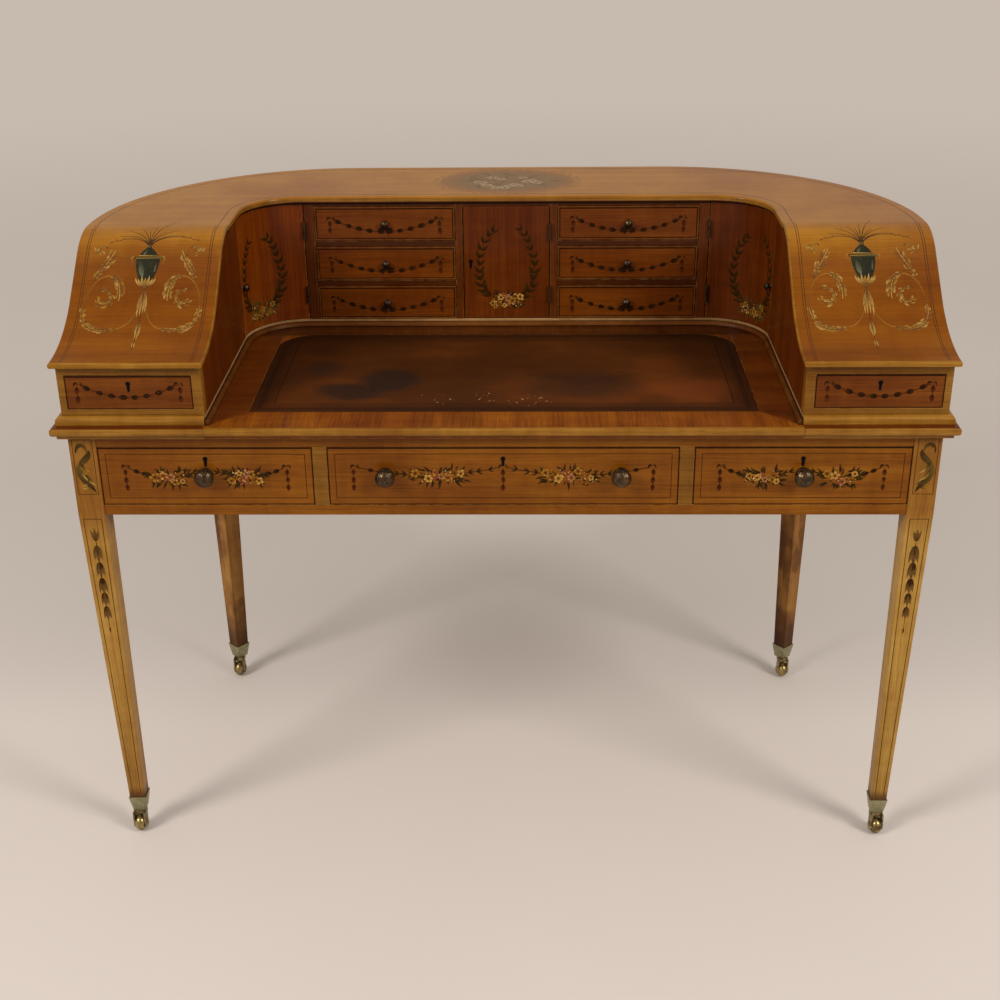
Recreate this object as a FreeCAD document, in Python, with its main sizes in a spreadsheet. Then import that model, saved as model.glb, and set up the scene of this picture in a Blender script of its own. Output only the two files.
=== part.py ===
import FreeCAD, Part
import math
import os
import re
import Sketcher

# A writing desk on four tapered legs with brass casters. A raised case of small drawers and
# cupboards runs round the back and both sides of a leather writing slide.
# X is the width, +Y the back, +Z up. The origin is on the floor under the middle of the desk.

doc = FreeCAD.newDocument("writing_desk")
sheet = doc.addObject("Spreadsheet::Sheet", "sizes")

# Driving sizes, in millimetres and degrees.
SIZES = dict(
    # table top, a D in plan: straight front and sides, round back corners
    top_half_width=685,
    front_reach=353,
    back_reach=357,
    corner_x=279,
    writing_height=766,
    top_thick=19,
    bed_thick=6,
    bed_inset=8,
    edge_upper_round=4,
    edge_lower_round=5,
    # frieze and legs
    frieze_inset=20,
    frieze_high=134,
    frieze_thick=18,
    rail_recess=2,
    rail_depth=40,
    upper_rail=19,
    lower_rail=17,
    divider_inner=270,
    divider_outer=292,
    leg_width=42,
    leg_foot=26.5,
    leg_end=62,
    leg_lean=8,
    leg_edge_round=1.5,
    rear_leg_angle=41.5,
    # drawer runners, guides and kickers
    runner_inner=250,
    runner_outer=312,
    guide_inset=2,
    side_runner_inner=594,
    side_runner_outer=632,
    side_runner_end=102,
    # raised case
    desk_height=1000,
    lid_thick=13,
    lid_outer_lap=8,
    lid_inner_lap=5,
    lid_round=3.5,
    case_half_width=670,
    case_setback=25,
    case_wall_thick=12,
    floor_thick=12,
    arm_inner=452,
    arm_wall_thick=14,
    arm_front_thick=18,
    arm_opening_inner=467,
    arm_opening_outer=659.5,
    arm_opening_low=789,
    arm_opening_high=843.6,
    arm_runner=13,
    bay_back=132,
    bay_corner=100,
    lip_setback=15,
    lip_height=866,
    slope_thick=8,
    slope_round=3,
    ogee_radius=230,
    ogee_angle=40,
    ogee_end=-55,
    plinth_high=13,
    plinth_out=9,
    plinth_round=7,
    bead_size=8,
    bead_round=6,
    # small drawers and cupboards
    door_half_opening=76.5,
    bank_inner=88.5,
    bank_outer=335.5,
    partition_back=318,
    shelf_thick=10,
    case_rail=5,
    cross_partition=12,
    cross_outer=646,
    # writing slide
    slide_back=287,
    slide_slack=0.6,
    slide_lift=0.4,
    leather_half_width=394,
    leather_front=71,
    leather_back=82,
    leather_corner=65,
    leather_thick=1.2,
    leather_slack=0.1,
    # drawers
    drawer_gap=1,
    front_thick=18,
    front_round=1.2,
    box_thick=9,
    box_slack=1,
    box_drop=8,
    bottom_lift=3,
    bottom_thick=5,
    side_drawer_length=372,
    centre_drawer_length=480,
    arm_drawer_length=300,
    small_drawer_length=172,
    # doors and hinges
    door_thick=16,
    door_round=1.2,
    hinge_gap=1.6,
    door_gap=1.5,
    door_swing_slack=0.5,
    hinge_leaf=0.7,
    hinge_depth=14,
    hinge_height=30,
    knuckle_radius=2.5,
    pin_radius=1.2,
    pin_slack=0.3,
    hinge_part=0.1,
    hinge_ahead=3,
    hinge_inset=45,
    corner_door_slack=1,
    corner_door_top=986,
    # knobs
    frieze_knob_radius=15,
    frieze_knob_reach=26,
    side_knob_x=459,
    centre_knob_x=181,
    frieze_knob_height=681.5,
    small_knob_radius=7,
    small_knob_reach=12,
    corner_knob_angle=6.5,
    corner_knob_hold=8,
    corner_knob_seat=0.2,
    corner_knob_height=864,
    # a knob's profile, as shares of its radius (foot, collar, waist, brow) and of its reach
    knob_foot=0.8,
    knob_foot_rim=0.72,
    knob_neck=0.4,
    knob_waist=0.36,
    knob_swell=0.82,
    foot_rim_reach=0.1,
    neck_reach=0.16,
    waist_reach=0.36,
    swell_reach=0.5,
    brow_reach=0.62,
    shank_radius=2.5,
    shank_slack=0.1,
    # locks
    lock_width=52,
    lock_height=30,
    lock_thick=8,
    lock_drop=2,
    # casters
    cup_top=30,
    cup_foot=21,
    cup_high=28.5,
    cup_lap=6,
    cup_slack=0.4,
    pintle_radius=3,
    pintle_slack=0.3,
    pintle_high=16,
    fork_drop=0.5,
    fork_thick=8,
    fork_half_width=10.5,
    cheek_thick=2.5,
    cheek_round=9,
    cheek_cap=2.4,
    axle_radius=2,
    axle_slack=0.3,
    wheel_radius=15,
    wheel_half_width=7.3,
    wheel_shoulder=11.5,
    caster_trail=11,
)

for row, (name, number) in enumerate(SIZES.items(), start=1):
    sheet.set(f"A{row}", name)
    sheet.set(f"B{row}", str(number))
    sheet.setAlias(f"B{row}", name)
doc.recompute()


# Sizes as text: every position below is a formula on the sheet's names.

def formula(text):
    """The text with each size's name turned into its cell."""
    return re.sub(r"[a-z_]+", lambda m: f"sizes.{m[0]}" if m[0] in SIZES else m[0], str(text))


def value(text):
    """What a formula comes to, as a number."""
    return float(sheet.evalExpression(formula(text)))


def both_sides(side, low, high):
    """A range of x on the right (side 1), or mirrored to the left (side -1)."""
    return (low, high) if side > 0 else (f"-({high})", f"-({low})")


FRONT = "-front_reach"
TABLE_UNDER = "writing_height - top_thick"
FRIEZE_LOW = "writing_height - top_thick - frieze_high"
FRIEZE_HALF = "top_half_width - frieze_inset"
LEG_FRONT = "-front_reach + frieze_inset"
RAIL_FRONT = "-front_reach + frieze_inset + rail_recess"
RAIL_BACK = "-front_reach + frieze_inset + rail_recess + rail_depth"
DRAWER_LOW = "writing_height - top_thick - frieze_high + lower_rail"
DRAWER_HIGH = "writing_height - top_thick - upper_rail"
LEG_INNER = "top_half_width - frieze_inset - leg_width"
CORNER_Y = "back_reach - top_half_width + corner_x"
CASE_FRONT = "-front_reach + case_setback"
ARM_FRAME_BACK = "-front_reach + case_setback + arm_front_thick"
FLOOR_TOP = "writing_height + floor_thick"
LID_UNDER = "desk_height - lid_thick"
BAY_X = "arm_inner - bay_corner"
BAY_Y = "bay_back - bay_corner"
BANK_TOP = "desk_height - lid_thick - case_rail"
ABOVE_ALL = "desk_height + lid_thick"
CASE_INNER_HALF = "case_half_width - case_wall_thick"


# Helpers that make document objects bound to the sheet.

def bind(thing, **formulas):
    """Binds properties to formulas; two underscores in a property's name stand for a dot."""
    for prop, text in formulas.items():
        thing.setExpression(prop.replace("__", "."), formula(text))
    return thing


def board(name, x, y, z):
    """A straight board between two planes along each axis."""
    box = doc.addObject("Part::Box", name)
    for size, axis, (low, high) in zip(("Length", "Width", "Height"), "xyz", (x, y, z)):
        box.setExpression(size, formula(f"({high}) - ({low})"))
        box.setExpression(f"Placement.Base.{axis}", formula(low))
    return box


def rod(name, radius, low, length, at=("0", "0"), axis=FreeCAD.Vector(0, 0, 1)):
    """A round rod along an axis. At gives the two coordinates across that axis, in x, y, z order."""
    bar = bind(doc.addObject("Part::Cylinder", name), Radius=radius, Height=length)
    bar.Placement.Rotation = FreeCAD.Rotation(FreeCAD.Vector(0, 0, 1), axis)
    across = [letter for letter, part in zip("xyz", axis) if not part]
    along = next(letter for letter, part in zip("xyz", axis) if part)
    for letter, text in zip(across, at):
        bar.setExpression(f"Placement.Base.{letter}", formula(text))
    bar.setExpression(f"Placement.Base.{along}", formula(low))
    return bar


def cut(name, base, *tools):
    """The base with each tool taken out of it in turn."""
    for number, tool in enumerate(tools):
        left = doc.addObject("Part::Cut", f"{name}_{number}")
        left.Base = base
        left.Tool = tool
        base = left
    return base


def joined(name, *members):
    """Members fused into one solid."""
    whole = doc.addObject("Part::MultiFuse", name)
    whole.Shapes = list(members)
    return whole


def eased(base, radius, chosen):
    """The base with the chosen edges rounded."""
    doc.recompute()
    size = value(radius)
    soft = doc.addObject("Part::Fillet", f"{base.Name}_eased")
    soft.Base = base
    soft.Edges = [
        (number, size, size)
        for number, edge in enumerate(base.Shape.Edges, start=1)
        if chosen(edge)
    ]
    return soft


def sketch_in(body, plane, offset):
    """An empty sketch of a body on one of its origin planes, moved along the plane's normal."""
    sketch = body.newObject("Sketcher::SketchObject", f"{body.Name}_sketch")
    support = next(f for f in body.Origin.OriginFeatures if f.Role == plane)
    sketch.AttachmentSupport = [(support, "")]
    sketch.MapMode = "FlatFace"
    sketch.setExpression("AttachmentOffset.Base.z", formula(offset))
    return sketch


def fixed(sketch, text, *constraint):
    """A dimension of a sketch that follows a formula."""
    number = sketch.addConstraint(Sketcher.Constraint(*constraint, value(text)))
    sketch.setExpression(f"Constraints[{number}]", formula(text))


def outline(sketch, corners):
    """A closed outline. A corner is (across, up), or (across, up, turn, radius) when an arc of
    that radius leaves it, turning left (1) or right (-1)."""
    points = [FreeCAD.Vector(value(c[0]), value(c[1]), 0) for c in corners]
    starts, ends = [], []
    for corner, here, there in zip(corners, points, points[1:] + points[:1]):
        if len(corner) == 2:
            edge = sketch.addGeometry(Part.LineSegment(here, there), False)
            first, last = 1, 2
        else:
            turn, radius = corner[2], value(corner[3])
            chord = there - here
            left = FreeCAD.Vector(-chord.y, chord.x, 0).normalize()
            rise = math.sqrt(max(radius**2 - (chord.Length / 2) ** 2, 0))
            centre = (here + there) * 0.5 + left * (rise * turn)
            angles = [
                math.atan2(p.y - centre.y, p.x - centre.x) for p in (here, there)[::turn]
            ]
            if angles[1] < angles[0]:
                angles[1] += 2 * math.pi
            circle = Part.Circle(centre, FreeCAD.Vector(0, 0, 1), radius)
            edge = sketch.addGeometry(Part.ArcOfCircle(circle, *angles), False)
            first, last = (1, 2) if turn > 0 else (2, 1)
            fixed(sketch, corner[3], "Radius", edge)
        starts.append((edge, first))
        ends.append((edge, last))
    for corner, start, end in zip(corners, starts, ends[-1:] + ends[:-1]):
        sketch.addConstraint(Sketcher.Constraint("Coincident", *end, *start))
        fixed(sketch, corner[0], "DistanceX", -1, 1, *start)
        fixed(sketch, corner[1], "DistanceY", -1, 1, *start)


def add_pad(body, plane, corners, low, high):
    """Pads an outline on a plane of the body, from low to high along the plane's normal."""
    sketch = sketch_in(body, plane, low)
    outline(sketch, corners)
    pad = body.newObject("PartDesign::Pad", f"{body.Name}_pad")
    pad.Profile = sketch
    bind(pad, Length=f"({high}) - ({low})")
    sketch.Visibility = False
    return body


def plate(name, corners, low, high):
    """A flat plate of any outline in plan, between two heights."""
    return add_pad(doc.addObject("PartDesign::Body", name), "XY_Plane", corners, low, high)


def length_of(name, corners, low, high):
    """A profile seen from the side, carried along x between two planes."""
    return add_pad(doc.addObject("PartDesign::Body", name), "YZ_Plane", corners, low, high)


def round_edges(body, radius, chosen):
    """Rounds the chosen edges of a body."""
    doc.recompute()
    tip = body.Tip
    names = [f"Edge{n}" for n, edge in enumerate(tip.Shape.Edges, start=1) if chosen(edge)]
    fillet = body.newObject("PartDesign::Fillet", f"{body.Name}_round")
    fillet.Base = (tip, names)
    bind(fillet, Radius=radius)


def turned(name, corners):
    """A solid of revolution about its own z axis; corners are (radius, height)."""
    body = doc.addObject("PartDesign::Body", name)
    sketch = sketch_in(body, "XZ_Plane", "0")
    outline(sketch, corners)
    spin = body.newObject("PartDesign::Revolution", f"{name}_turn")
    spin.Profile = sketch
    spin.ReferenceAxis = (sketch, ["V_Axis"])
    spin.Angle = 360
    sketch.Visibility = False
    return body


def group(name, members):
    """Separate solids that share one name."""
    whole = doc.addObject("Part::Compound", name)
    whole.Links = members
    return whole


def square(half, shift="0"):
    """A square about a point on the x axis."""
    return [
        (f"({shift}) - ({half})", f"-({half})"),
        (f"({shift}) + ({half})", f"-({half})"),
        (f"({shift}) + ({half})", half),
        (f"({shift}) - ({half})", half),
    ]


def d_path(half, front, way):
    """The outer line of the desk in plan at a half width, from front to back and forward again.
    Way 1 goes round from the left, way -1 from the right; every such line is concentric."""
    back = f"back_reach - top_half_width + ({half})"
    bend = f"({half}) - corner_x"
    near, far = f"{-way} * ({half})", f"{way} * ({half})"
    return [
        (near, front),
        (near, CORNER_Y, -way, bend),
        (f"{-way} * corner_x", back),
        (f"{way} * corner_x", back, -way, bend),
        (far, CORNER_Y),
        (far, front),
    ]


def bay_path(lap, front, way):
    """The inner line of the raised case in plan, moved inward by lap; way as for d_path."""
    half, back = f"arm_inner - ({lap})", f"bay_back - ({lap})"
    bend = f"bay_corner - ({lap})"
    near, far = f"{-way} * ({half})", f"{way} * ({half})"
    return [
        (near, front),
        (near, BAY_Y, -way, bend),
        (f"{-way} * ({BAY_X})", back),
        (f"{way} * ({BAY_X})", back, -way, bend),
        (far, BAY_Y),
        (far, front),
    ]


def lies_on(axis, text):
    """A test for edges that lie in a plane across an axis."""
    place = value(text)

    def test(edge):
        return all(abs(getattr(v.Point, axis) - place) < 0.01 for v in edge.Vertexes)

    return test


def any_of(*tests):
    """A test that passes when any of the tests does."""
    return lambda edge: any(test(edge) for test in tests)


def all_of(*tests):
    """A test that passes when all of the tests do."""
    return lambda edge: all(test(edge) for test in tests)


def off(test):
    """The opposite of a test."""
    return lambda edge: not test(edge)


NODES = {}


def keep(name, thing):
    """Marks a finished piece, which is written out under its label."""
    thing.Label = name
    NODES[name] = thing
    return thing


# Legs: a square post through the frieze, then a long taper to the caster cup.

def leg(name, lean):
    """A leg about its own axis; lean moves the foot along x."""
    body = plate(f"{name}_body", square("leg_width / 2"), FRIEZE_LOW, TABLE_UNDER)
    head = sketch_in(body, "XY_Plane", FRIEZE_LOW)
    outline(head, square("leg_width / 2"))
    foot = sketch_in(body, "XY_Plane", "leg_end")
    outline(foot, square("leg_foot / 2", lean))
    taper = body.newObject("PartDesign::AdditiveLoft", f"{name}_taper")
    taper.Profile = head
    taper.Sections = [foot]
    taper.Ruled = True
    return body


REAR_LEG_RADIUS = f"({FRIEZE_HALF} - corner_x - leg_width / 2)"
FOOT_X = f"({LEG_INNER} + leg_width / 2)"
FOOT_Y = f"({LEG_FRONT} + leg_width / 2)"
CASTERS = {}
front_legs, rear_legs = [], []
for side, hand in ((-1, "left"), (1, "right")):
    front = leg(f"front_leg_{hand}", f"{-side} * leg_lean")
    bind(front, Placement__Base__x=f"{side} * {FOOT_X}", Placement__Base__y=FOOT_Y)
    front_legs.append(front)
    CASTERS[f"front_{hand}"] = (f"{side} * ({FOOT_X} - leg_lean)", FOOT_Y, "0")

    rear = leg(f"rear_leg_{hand}", "0")
    rear_x = f"{side} * (corner_x + {REAR_LEG_RADIUS} * cos(rear_leg_angle))"
    rear_y = f"{CORNER_Y} + {REAR_LEG_RADIUS} * sin(rear_leg_angle)"
    bind(rear, Placement__Base__x=rear_x, Placement__Base__y=rear_y)
    rear.Placement.Rotation = FreeCAD.Rotation(FreeCAD.Vector(0, 0, 1), 0)
    bind(rear, Placement__Rotation__Angle=f"{side} * rear_leg_angle")
    rear_legs.append(rear)
    CASTERS[f"rear_{hand}"] = (rear_x, rear_y, f"{side} * rear_leg_angle")

for body in front_legs + rear_legs:
    post_or_taper = off(
        any_of(*(lies_on("z", z) for z in (TABLE_UNDER, FRIEZE_LOW, "leg_end")))
    )
    round_edges(body, "leg_edge_round", post_or_taper)
keep("front_legs", group("front_legs", front_legs))
keep("rear_legs", group("rear_legs", rear_legs))

# Frieze: rails and dividers round the three front drawers, then curved panels round the back.

keep("frieze_rails", group("frieze_rails", [
    board("upper_rail_board", (f"-({LEG_INNER})", LEG_INNER), (RAIL_FRONT, RAIL_BACK),
          (DRAWER_HIGH, TABLE_UNDER)),
    board("lower_rail_board", (f"-({LEG_INNER})", LEG_INNER), (RAIL_FRONT, RAIL_BACK),
          (FRIEZE_LOW, DRAWER_LOW)),
]))
keep("frieze_dividers", group("frieze_dividers", [
    board(f"divider_{hand}", both_sides(side, "divider_inner", "divider_outer"),
          (RAIL_FRONT, RAIL_BACK), (DRAWER_LOW, DRAWER_HIGH))
    for side, hand in ((-1, "left"), (1, "right"))
]))
panel_front = f"{LEG_FRONT} + leg_width"
frieze_band = plate(
    "frieze_band",
    d_path(FRIEZE_HALF, panel_front, 1) + d_path(f"{FRIEZE_HALF} - frieze_thick", panel_front, -1),
    FRIEZE_LOW, TABLE_UNDER,
)
keep("frieze_panels", cut("frieze_panels", frieze_band, *rear_legs))

# Runners carry the drawers, guides part them and kickers above stop them tipping. Their back ends
# are scribed to the curved panels.

FRIEZE_Z = (DRAWER_LOW, DRAWER_HIGH)
supports = []
frieze_inside = f"{CORNER_Y} + {FRIEZE_HALF} - frieze_thick - corner_x"
for side, hand in ((-1, "left"), (1, "right")):
    middle_x = both_sides(side, "runner_inner", "runner_outer")
    guide_x = both_sides(side, "divider_inner + guide_inset", "divider_outer - guide_inset")
    outer_x = both_sides(side, "side_runner_inner", "side_runner_outer")
    back_y = (RAIL_BACK, frieze_inside)
    outer_y = (RAIL_BACK, "side_runner_end")
    under, over = (FRIEZE_LOW, DRAWER_LOW), (DRAWER_HIGH, TABLE_UNDER)
    for strip in (
        board(f"runner_{hand}", middle_x, back_y, under),
        board(f"kicker_{hand}", middle_x, back_y, over),
        board(f"guide_{hand}", guide_x, back_y, FRIEZE_Z),
        board(f"outer_runner_{hand}", outer_x, outer_y, under),
        board(f"outer_kicker_{hand}", outer_x, outer_y, over),
    ):
        supports.append(cut(f"{strip.Name}_end", strip, frieze_band))
    arm_y = (ARM_FRAME_BACK, CORNER_Y)
    for edge, low, high in (
        ("inner", "arm_inner + arm_wall_thick", "arm_inner + arm_wall_thick + arm_runner"),
        ("outer", f"{CASE_INNER_HALF} - arm_runner", CASE_INNER_HALF),
    ):
        supports.append(board(f"arm_runner_{edge}_{hand}", both_sides(side, low, high), arm_y,
                              (FLOOR_TOP, "arm_opening_low")))
keep("drawer_runners", group("drawer_runners", supports))

# Table top: a moulded D-shaped board, open in the middle for the writing slide.

def slot(front):
    """The square opening for the slide, seen from above, from right to left."""
    half, back = "arm_inner + slide_slack", "slide_back + slide_slack"
    return [
        (half, front),
        (half, back),
        (f"-({half})", back),
        (f"-({half})", front),
    ]


table_top = plate("table_top_body", d_path("top_half_width", FRONT, 1) + slot(FRONT),
                  f"{TABLE_UNDER} + bed_thick", "writing_height")
table_rim = any_of(
    *(lies_on("x", f"{side} * top_half_width") for side in (-1, 1)),
    lies_on("y", FRONT),
    lies_on("y", "back_reach"),
    lambda edge: edge.Curve.TypeId == "Part::GeomCircle",
)
round_edges(table_top, "edge_upper_round", all_of(table_rim, lies_on("z", "writing_height")))
round_edges(table_top, "edge_lower_round",
            all_of(table_rim, lies_on("z", f"{TABLE_UNDER} + bed_thick")))
bed_front = "-front_reach + bed_inset"
table_bed = plate("table_bed", d_path("top_half_width - bed_inset", bed_front, 1) + slot(bed_front),
                  TABLE_UNDER, f"{TABLE_UNDER} + bed_thick")
keep("table_top", joined("table_top", table_top, table_bed))

# Writing slide: it carries the middle of the table's front moulding and the leather.

SLIDE_TOP = "writing_height - slide_lift"
bed_top = f"{TABLE_UNDER} + bed_thick"
slide = length_of("writing_slide_body", [
    (bed_front, f"{TABLE_UNDER} + slide_lift"),
    ("slide_back", f"{TABLE_UNDER} + slide_lift"),
    ("slide_back", SLIDE_TOP),
    (f"{FRONT} + edge_upper_round", SLIDE_TOP, 1, "edge_upper_round"),
    (FRONT, f"{SLIDE_TOP} - edge_upper_round"),
    (FRONT, f"{bed_top} + edge_lower_round", 1, "edge_lower_round"),
    (f"{FRONT} + edge_lower_round", bed_top),
    (bed_front, bed_top),
], "-arm_inner", "arm_inner")


def leather_outline(slack):
    """The leather in plan: square in front, round at the back corners."""
    half, back = f"leather_half_width - ({slack})", f"leather_back - ({slack})"
    front, bend = f"{FRONT} + leather_front + ({slack})", "leather_corner"
    return [
        (f"-({half})", front),
        (f"-({half})", f"{back} - {bend}", -1, bend),
        (f"-({half}) + {bend}", back),
        (f"{half} - {bend}", back, -1, bend),
        (half, f"{back} - {bend}"),
        (half, front),
    ]


recess = plate("leather_recess", leather_outline("0"), f"{SLIDE_TOP} - leather_thick", ABOVE_ALL)
keep("writing_slide", cut("writing_slide", slide, recess))
keep("writing_leather", plate("writing_leather", leather_outline("leather_slack"),
                              f"{SLIDE_TOP} - leather_thick", SLIDE_TOP))

# Raised case: floor, mouldings at its foot, then the top with its ogee slopes over the arms.

keep("case_floor", plate("case_floor",
                         d_path("case_half_width", CASE_FRONT, 1) + bay_path("0", CASE_FRONT, -1),
                         "writing_height", FLOOR_TOP))

plinth_front = f"{CASE_FRONT} - plinth_out"
plinth_half = "case_half_width + plinth_out"
plinth_high = "writing_height + plinth_high"
plinth = plate(
    "plinth_moulding",
    [("-arm_inner", plinth_front)] + d_path(plinth_half, plinth_front, 1)
    + [("arm_inner", plinth_front), ("arm_inner", CASE_FRONT)]
    + d_path("case_half_width", CASE_FRONT, -1) + [("-arm_inner", CASE_FRONT)],
    "writing_height", plinth_high,
)
plinth_rim = any_of(
    *(lies_on("x", f"{side} * ({plinth_half})") for side in (-1, 1)),
    lies_on("y", plinth_front),
    lies_on("y", "back_reach - top_half_width + case_half_width + plinth_out"),
    lambda edge: edge.Curve.TypeId == "Part::GeomCircle"
    and edge.Curve.Radius > value("case_half_width - corner_x") + 1,
)
round_edges(plinth, "plinth_round", all_of(plinth_rim, lies_on("z", plinth_high)))
keep("plinth_moulding", plinth)

bead = plate("bay_bead", bay_path("0", plinth_front, 1) + bay_path("bead_size", plinth_front, -1),
             "writing_height", "writing_height + bead_size")
bead_rim = any_of(
    *(lies_on("x", f"{side} * (arm_inner - bead_size)") for side in (-1, 1)),
    lies_on("y", "bay_back - bead_size"),
    lambda edge: edge.Curve.TypeId == "Part::GeomCircle"
    and edge.Curve.Radius < value("bay_corner") - 1,
)
round_edges(bead, "bead_round", all_of(bead_rim, lies_on("z", "writing_height + bead_size")))
keep("bay_bead", bead)

lid_half = "case_half_width + lid_outer_lap"
top_board = plate("top_board",
                  d_path(lid_half, "ogee_end", 1) + bay_path("lid_inner_lap", "ogee_end", -1),
                  LID_UNDER, "desk_height")
lid_faces = any_of(lies_on("z", LID_UNDER), lies_on("z", "desk_height"))
round_edges(top_board, "lid_round", all_of(lid_faces, off(lies_on("y", "ogee_end"))))
keep("top_board", top_board)

# The ogee: hollow above the lip, a straight pitch, then round over into the flat top.
LIP_Y = "-front_reach + lip_setback"
RUN = f"(ogee_end - ({LIP_Y}) - ogee_radius * sin(ogee_angle))"
RISE = "(desk_height - lip_height - ogee_radius * (1 - cos(ogee_angle)))"
CREST = f"(({RUN} * sin(ogee_angle) - {RISE} * cos(ogee_angle)) / (1 - cos(ogee_angle)))"


def ogee(depth, way):
    """The slope's profile at a depth below its surface; way 1 goes back, way -1 forward."""
    hollow, crest = f"ogee_radius + {depth}", f"{CREST} - {depth}"
    low = (LIP_Y, f"lip_height - {depth}")
    pitch = (f"{LIP_Y} + ({hollow}) * sin(ogee_angle)",
             f"lip_height - {depth} + ({hollow}) * (1 - cos(ogee_angle))")
    shoulder = (f"ogee_end - ({crest}) * sin(ogee_angle)",
                f"desk_height - {depth} - ({crest}) * (1 - cos(ogee_angle))")
    high = ("ogee_end", f"desk_height - {depth}")
    if way > 0:
        return [(*low, 1, hollow), pitch, (*shoulder, -1, crest), high]
    return [(*high, 1, crest), shoulder, (*pitch, -1, hollow), low]


slopes = []
for side, hand in ((-1, "left"), (1, "right")):
    span = both_sides(side, "arm_inner - lid_inner_lap", lid_half)
    slope = length_of(f"slope_{hand}", ogee("0", -1) + ogee("slope_thick", 1), *span)
    long_edges = all_of(
        any_of(lies_on("x", span[0]), lies_on("x", span[1]), lies_on("y", LIP_Y)),
        off(lies_on("y", "ogee_end")),
        lambda edge: edge.BoundBox.ZMax > value("lip_height") - 0.01,
    )
    round_edges(slope, "slope_round", all_of(long_edges, off(
        lambda edge: edge.BoundBox.ZLength > 1 and edge.BoundBox.YLength < 1)))
    slopes.append(slope)
keep("arm_slopes", group("arm_slopes", slopes))

# Everything over the underside of the top, taken out of the walls that meet it.
headroom = length_of("headroom", ogee("slope_thick", 1) + [
    ("ogee_end", LID_UNDER),
    ("back_reach + bay_corner", LID_UNDER),
    ("back_reach + bay_corner", ABOVE_ALL),
    (f"{FRONT} - bay_corner", ABOVE_ALL),
    (f"{FRONT} - bay_corner", "lip_height - slope_thick"),
], "-top_half_width", "top_half_width")

wall = plate("case_wall_body",
             d_path("case_half_width", ARM_FRAME_BACK, 1)
             + d_path(CASE_INNER_HALF, ARM_FRAME_BACK, -1), FLOOR_TOP, "desk_height")
keep("case_wall", cut("case_wall", wall, headroom))
arm_walls, arm_frames = [], []
for side, hand in ((-1, "left"), (1, "right")):
    inner = board(f"arm_wall_{hand}", both_sides(side, "arm_inner", "arm_inner + arm_wall_thick"),
                  (ARM_FRAME_BACK, BAY_Y), (FLOOR_TOP, "desk_height"))
    arm_walls.append(cut(f"arm_wall_{hand}_cut", inner, headroom))
    face = board(f"arm_face_{hand}", both_sides(side, "arm_inner", "case_half_width"),
                 (CASE_FRONT, ARM_FRAME_BACK), (FLOOR_TOP, "desk_height"))
    hole = board(f"arm_hole_{hand}", both_sides(side, "arm_opening_inner", "arm_opening_outer"),
                 (CASE_FRONT, ARM_FRAME_BACK), ("arm_opening_low", "arm_opening_high"))
    arm_frames.append(cut(f"arm_face_{hand}_cut", face, hole, headroom))
keep("arm_walls", group("arm_walls", arm_walls))
keep("arm_fronts", group("arm_fronts", arm_frames))

# Partitions stand between the drawers and the cupboards, and close the back of each arm.

uprights, shelves = [], []
SHELF_PITCH = f"(({BANK_TOP} - ({FLOOR_TOP}) - 2 * shelf_thick) / 3)"


def tier(number):
    """The height range of a small drawer's opening, counted from the bottom."""
    low = f"{FLOOR_TOP} + {number} * ({SHELF_PITCH} + shelf_thick)"
    return low, f"{low} + {SHELF_PITCH}"


for side, hand in ((-1, "left"), (1, "right")):
    for place, low, high in (
        ("inner", "door_half_opening", "bank_inner"),
        ("outer", "bank_outer", BAY_X),
    ):
        uprights.append(board(f"partition_{place}_{hand}", both_sides(side, low, high),
                              ("bay_back", "partition_back"), (FLOOR_TOP, LID_UNDER)))
    uprights.append(board(
        f"cross_partition_{hand}",
        both_sides(side, "arm_inner + arm_wall_thick", "cross_outer"),
        (f"{BAY_Y} - cross_partition", BAY_Y), (FLOOR_TOP, LID_UNDER),
    ))
    bank = both_sides(side, "bank_inner", "bank_outer")
    for number in range(2):
        shelves.append(board(f"shelf_{hand}_{number}", bank, ("bay_back", "partition_back"),
                             (tier(number)[1], tier(number + 1)[0])))
    shelves.append(board(f"bank_rail_{hand}", bank, ("bay_back", "bay_back + front_thick"),
                         (BANK_TOP, LID_UNDER)))
shelves.append(board("door_rail", ("-door_half_opening", "door_half_opening"),
                     ("bay_back", "bay_back + front_thick"), (BANK_TOP, LID_UNDER)))
keep("case_partitions", group("case_partitions", uprights))
keep("drawer_shelves", group("drawer_shelves", shelves))

# Knobs: a turned brass head on a shank that passes through the drawer front.

def knob(name, radius, reach, hold):
    """A knob about its own z axis, with its shank behind the face it sits on."""
    brow = f"{reach} * brow_reach"
    dome = f"(({radius})^2 + ({reach} - {brow})^2) / (2 * ({reach} - {brow}))"
    return turned(name, [
        ("0", f"-({hold})"),
        ("shank_radius", f"-({hold})"),
        ("shank_radius", "0"),
        (f"{radius} * knob_foot", "0"),
        (f"{radius} * knob_foot_rim", f"{reach} * foot_rim_reach"),
        (f"{radius} * knob_neck", f"{reach} * neck_reach"),
        (f"{radius} * knob_waist", f"{reach} * waist_reach"),
        (f"{radius} * knob_swell", f"{reach} * swell_reach"),
        (radius, brow, 1, dome),
        ("0", reach),
    ])


def front_knob(name, radius, reach, hold, x, y, z):
    """A knob that points forward from a face at y."""
    body = knob(name, radius, reach, hold)
    body.Placement.Rotation = FreeCAD.Rotation(FreeCAD.Vector(1, 0, 0), 90)
    return bind(body, Placement__Base__x=x, Placement__Base__y=y, Placement__Base__z=z)


def shank_hole(name, x, y, z):
    """The hole for a knob's shank, right through a front at y."""
    return rod(name, "shank_radius + shank_slack", y, "front_thick", (x, z),
               FreeCAD.Vector(0, 1, 0))


# Drawers: a front, two sides, a back and a bottom, each its own board.

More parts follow.
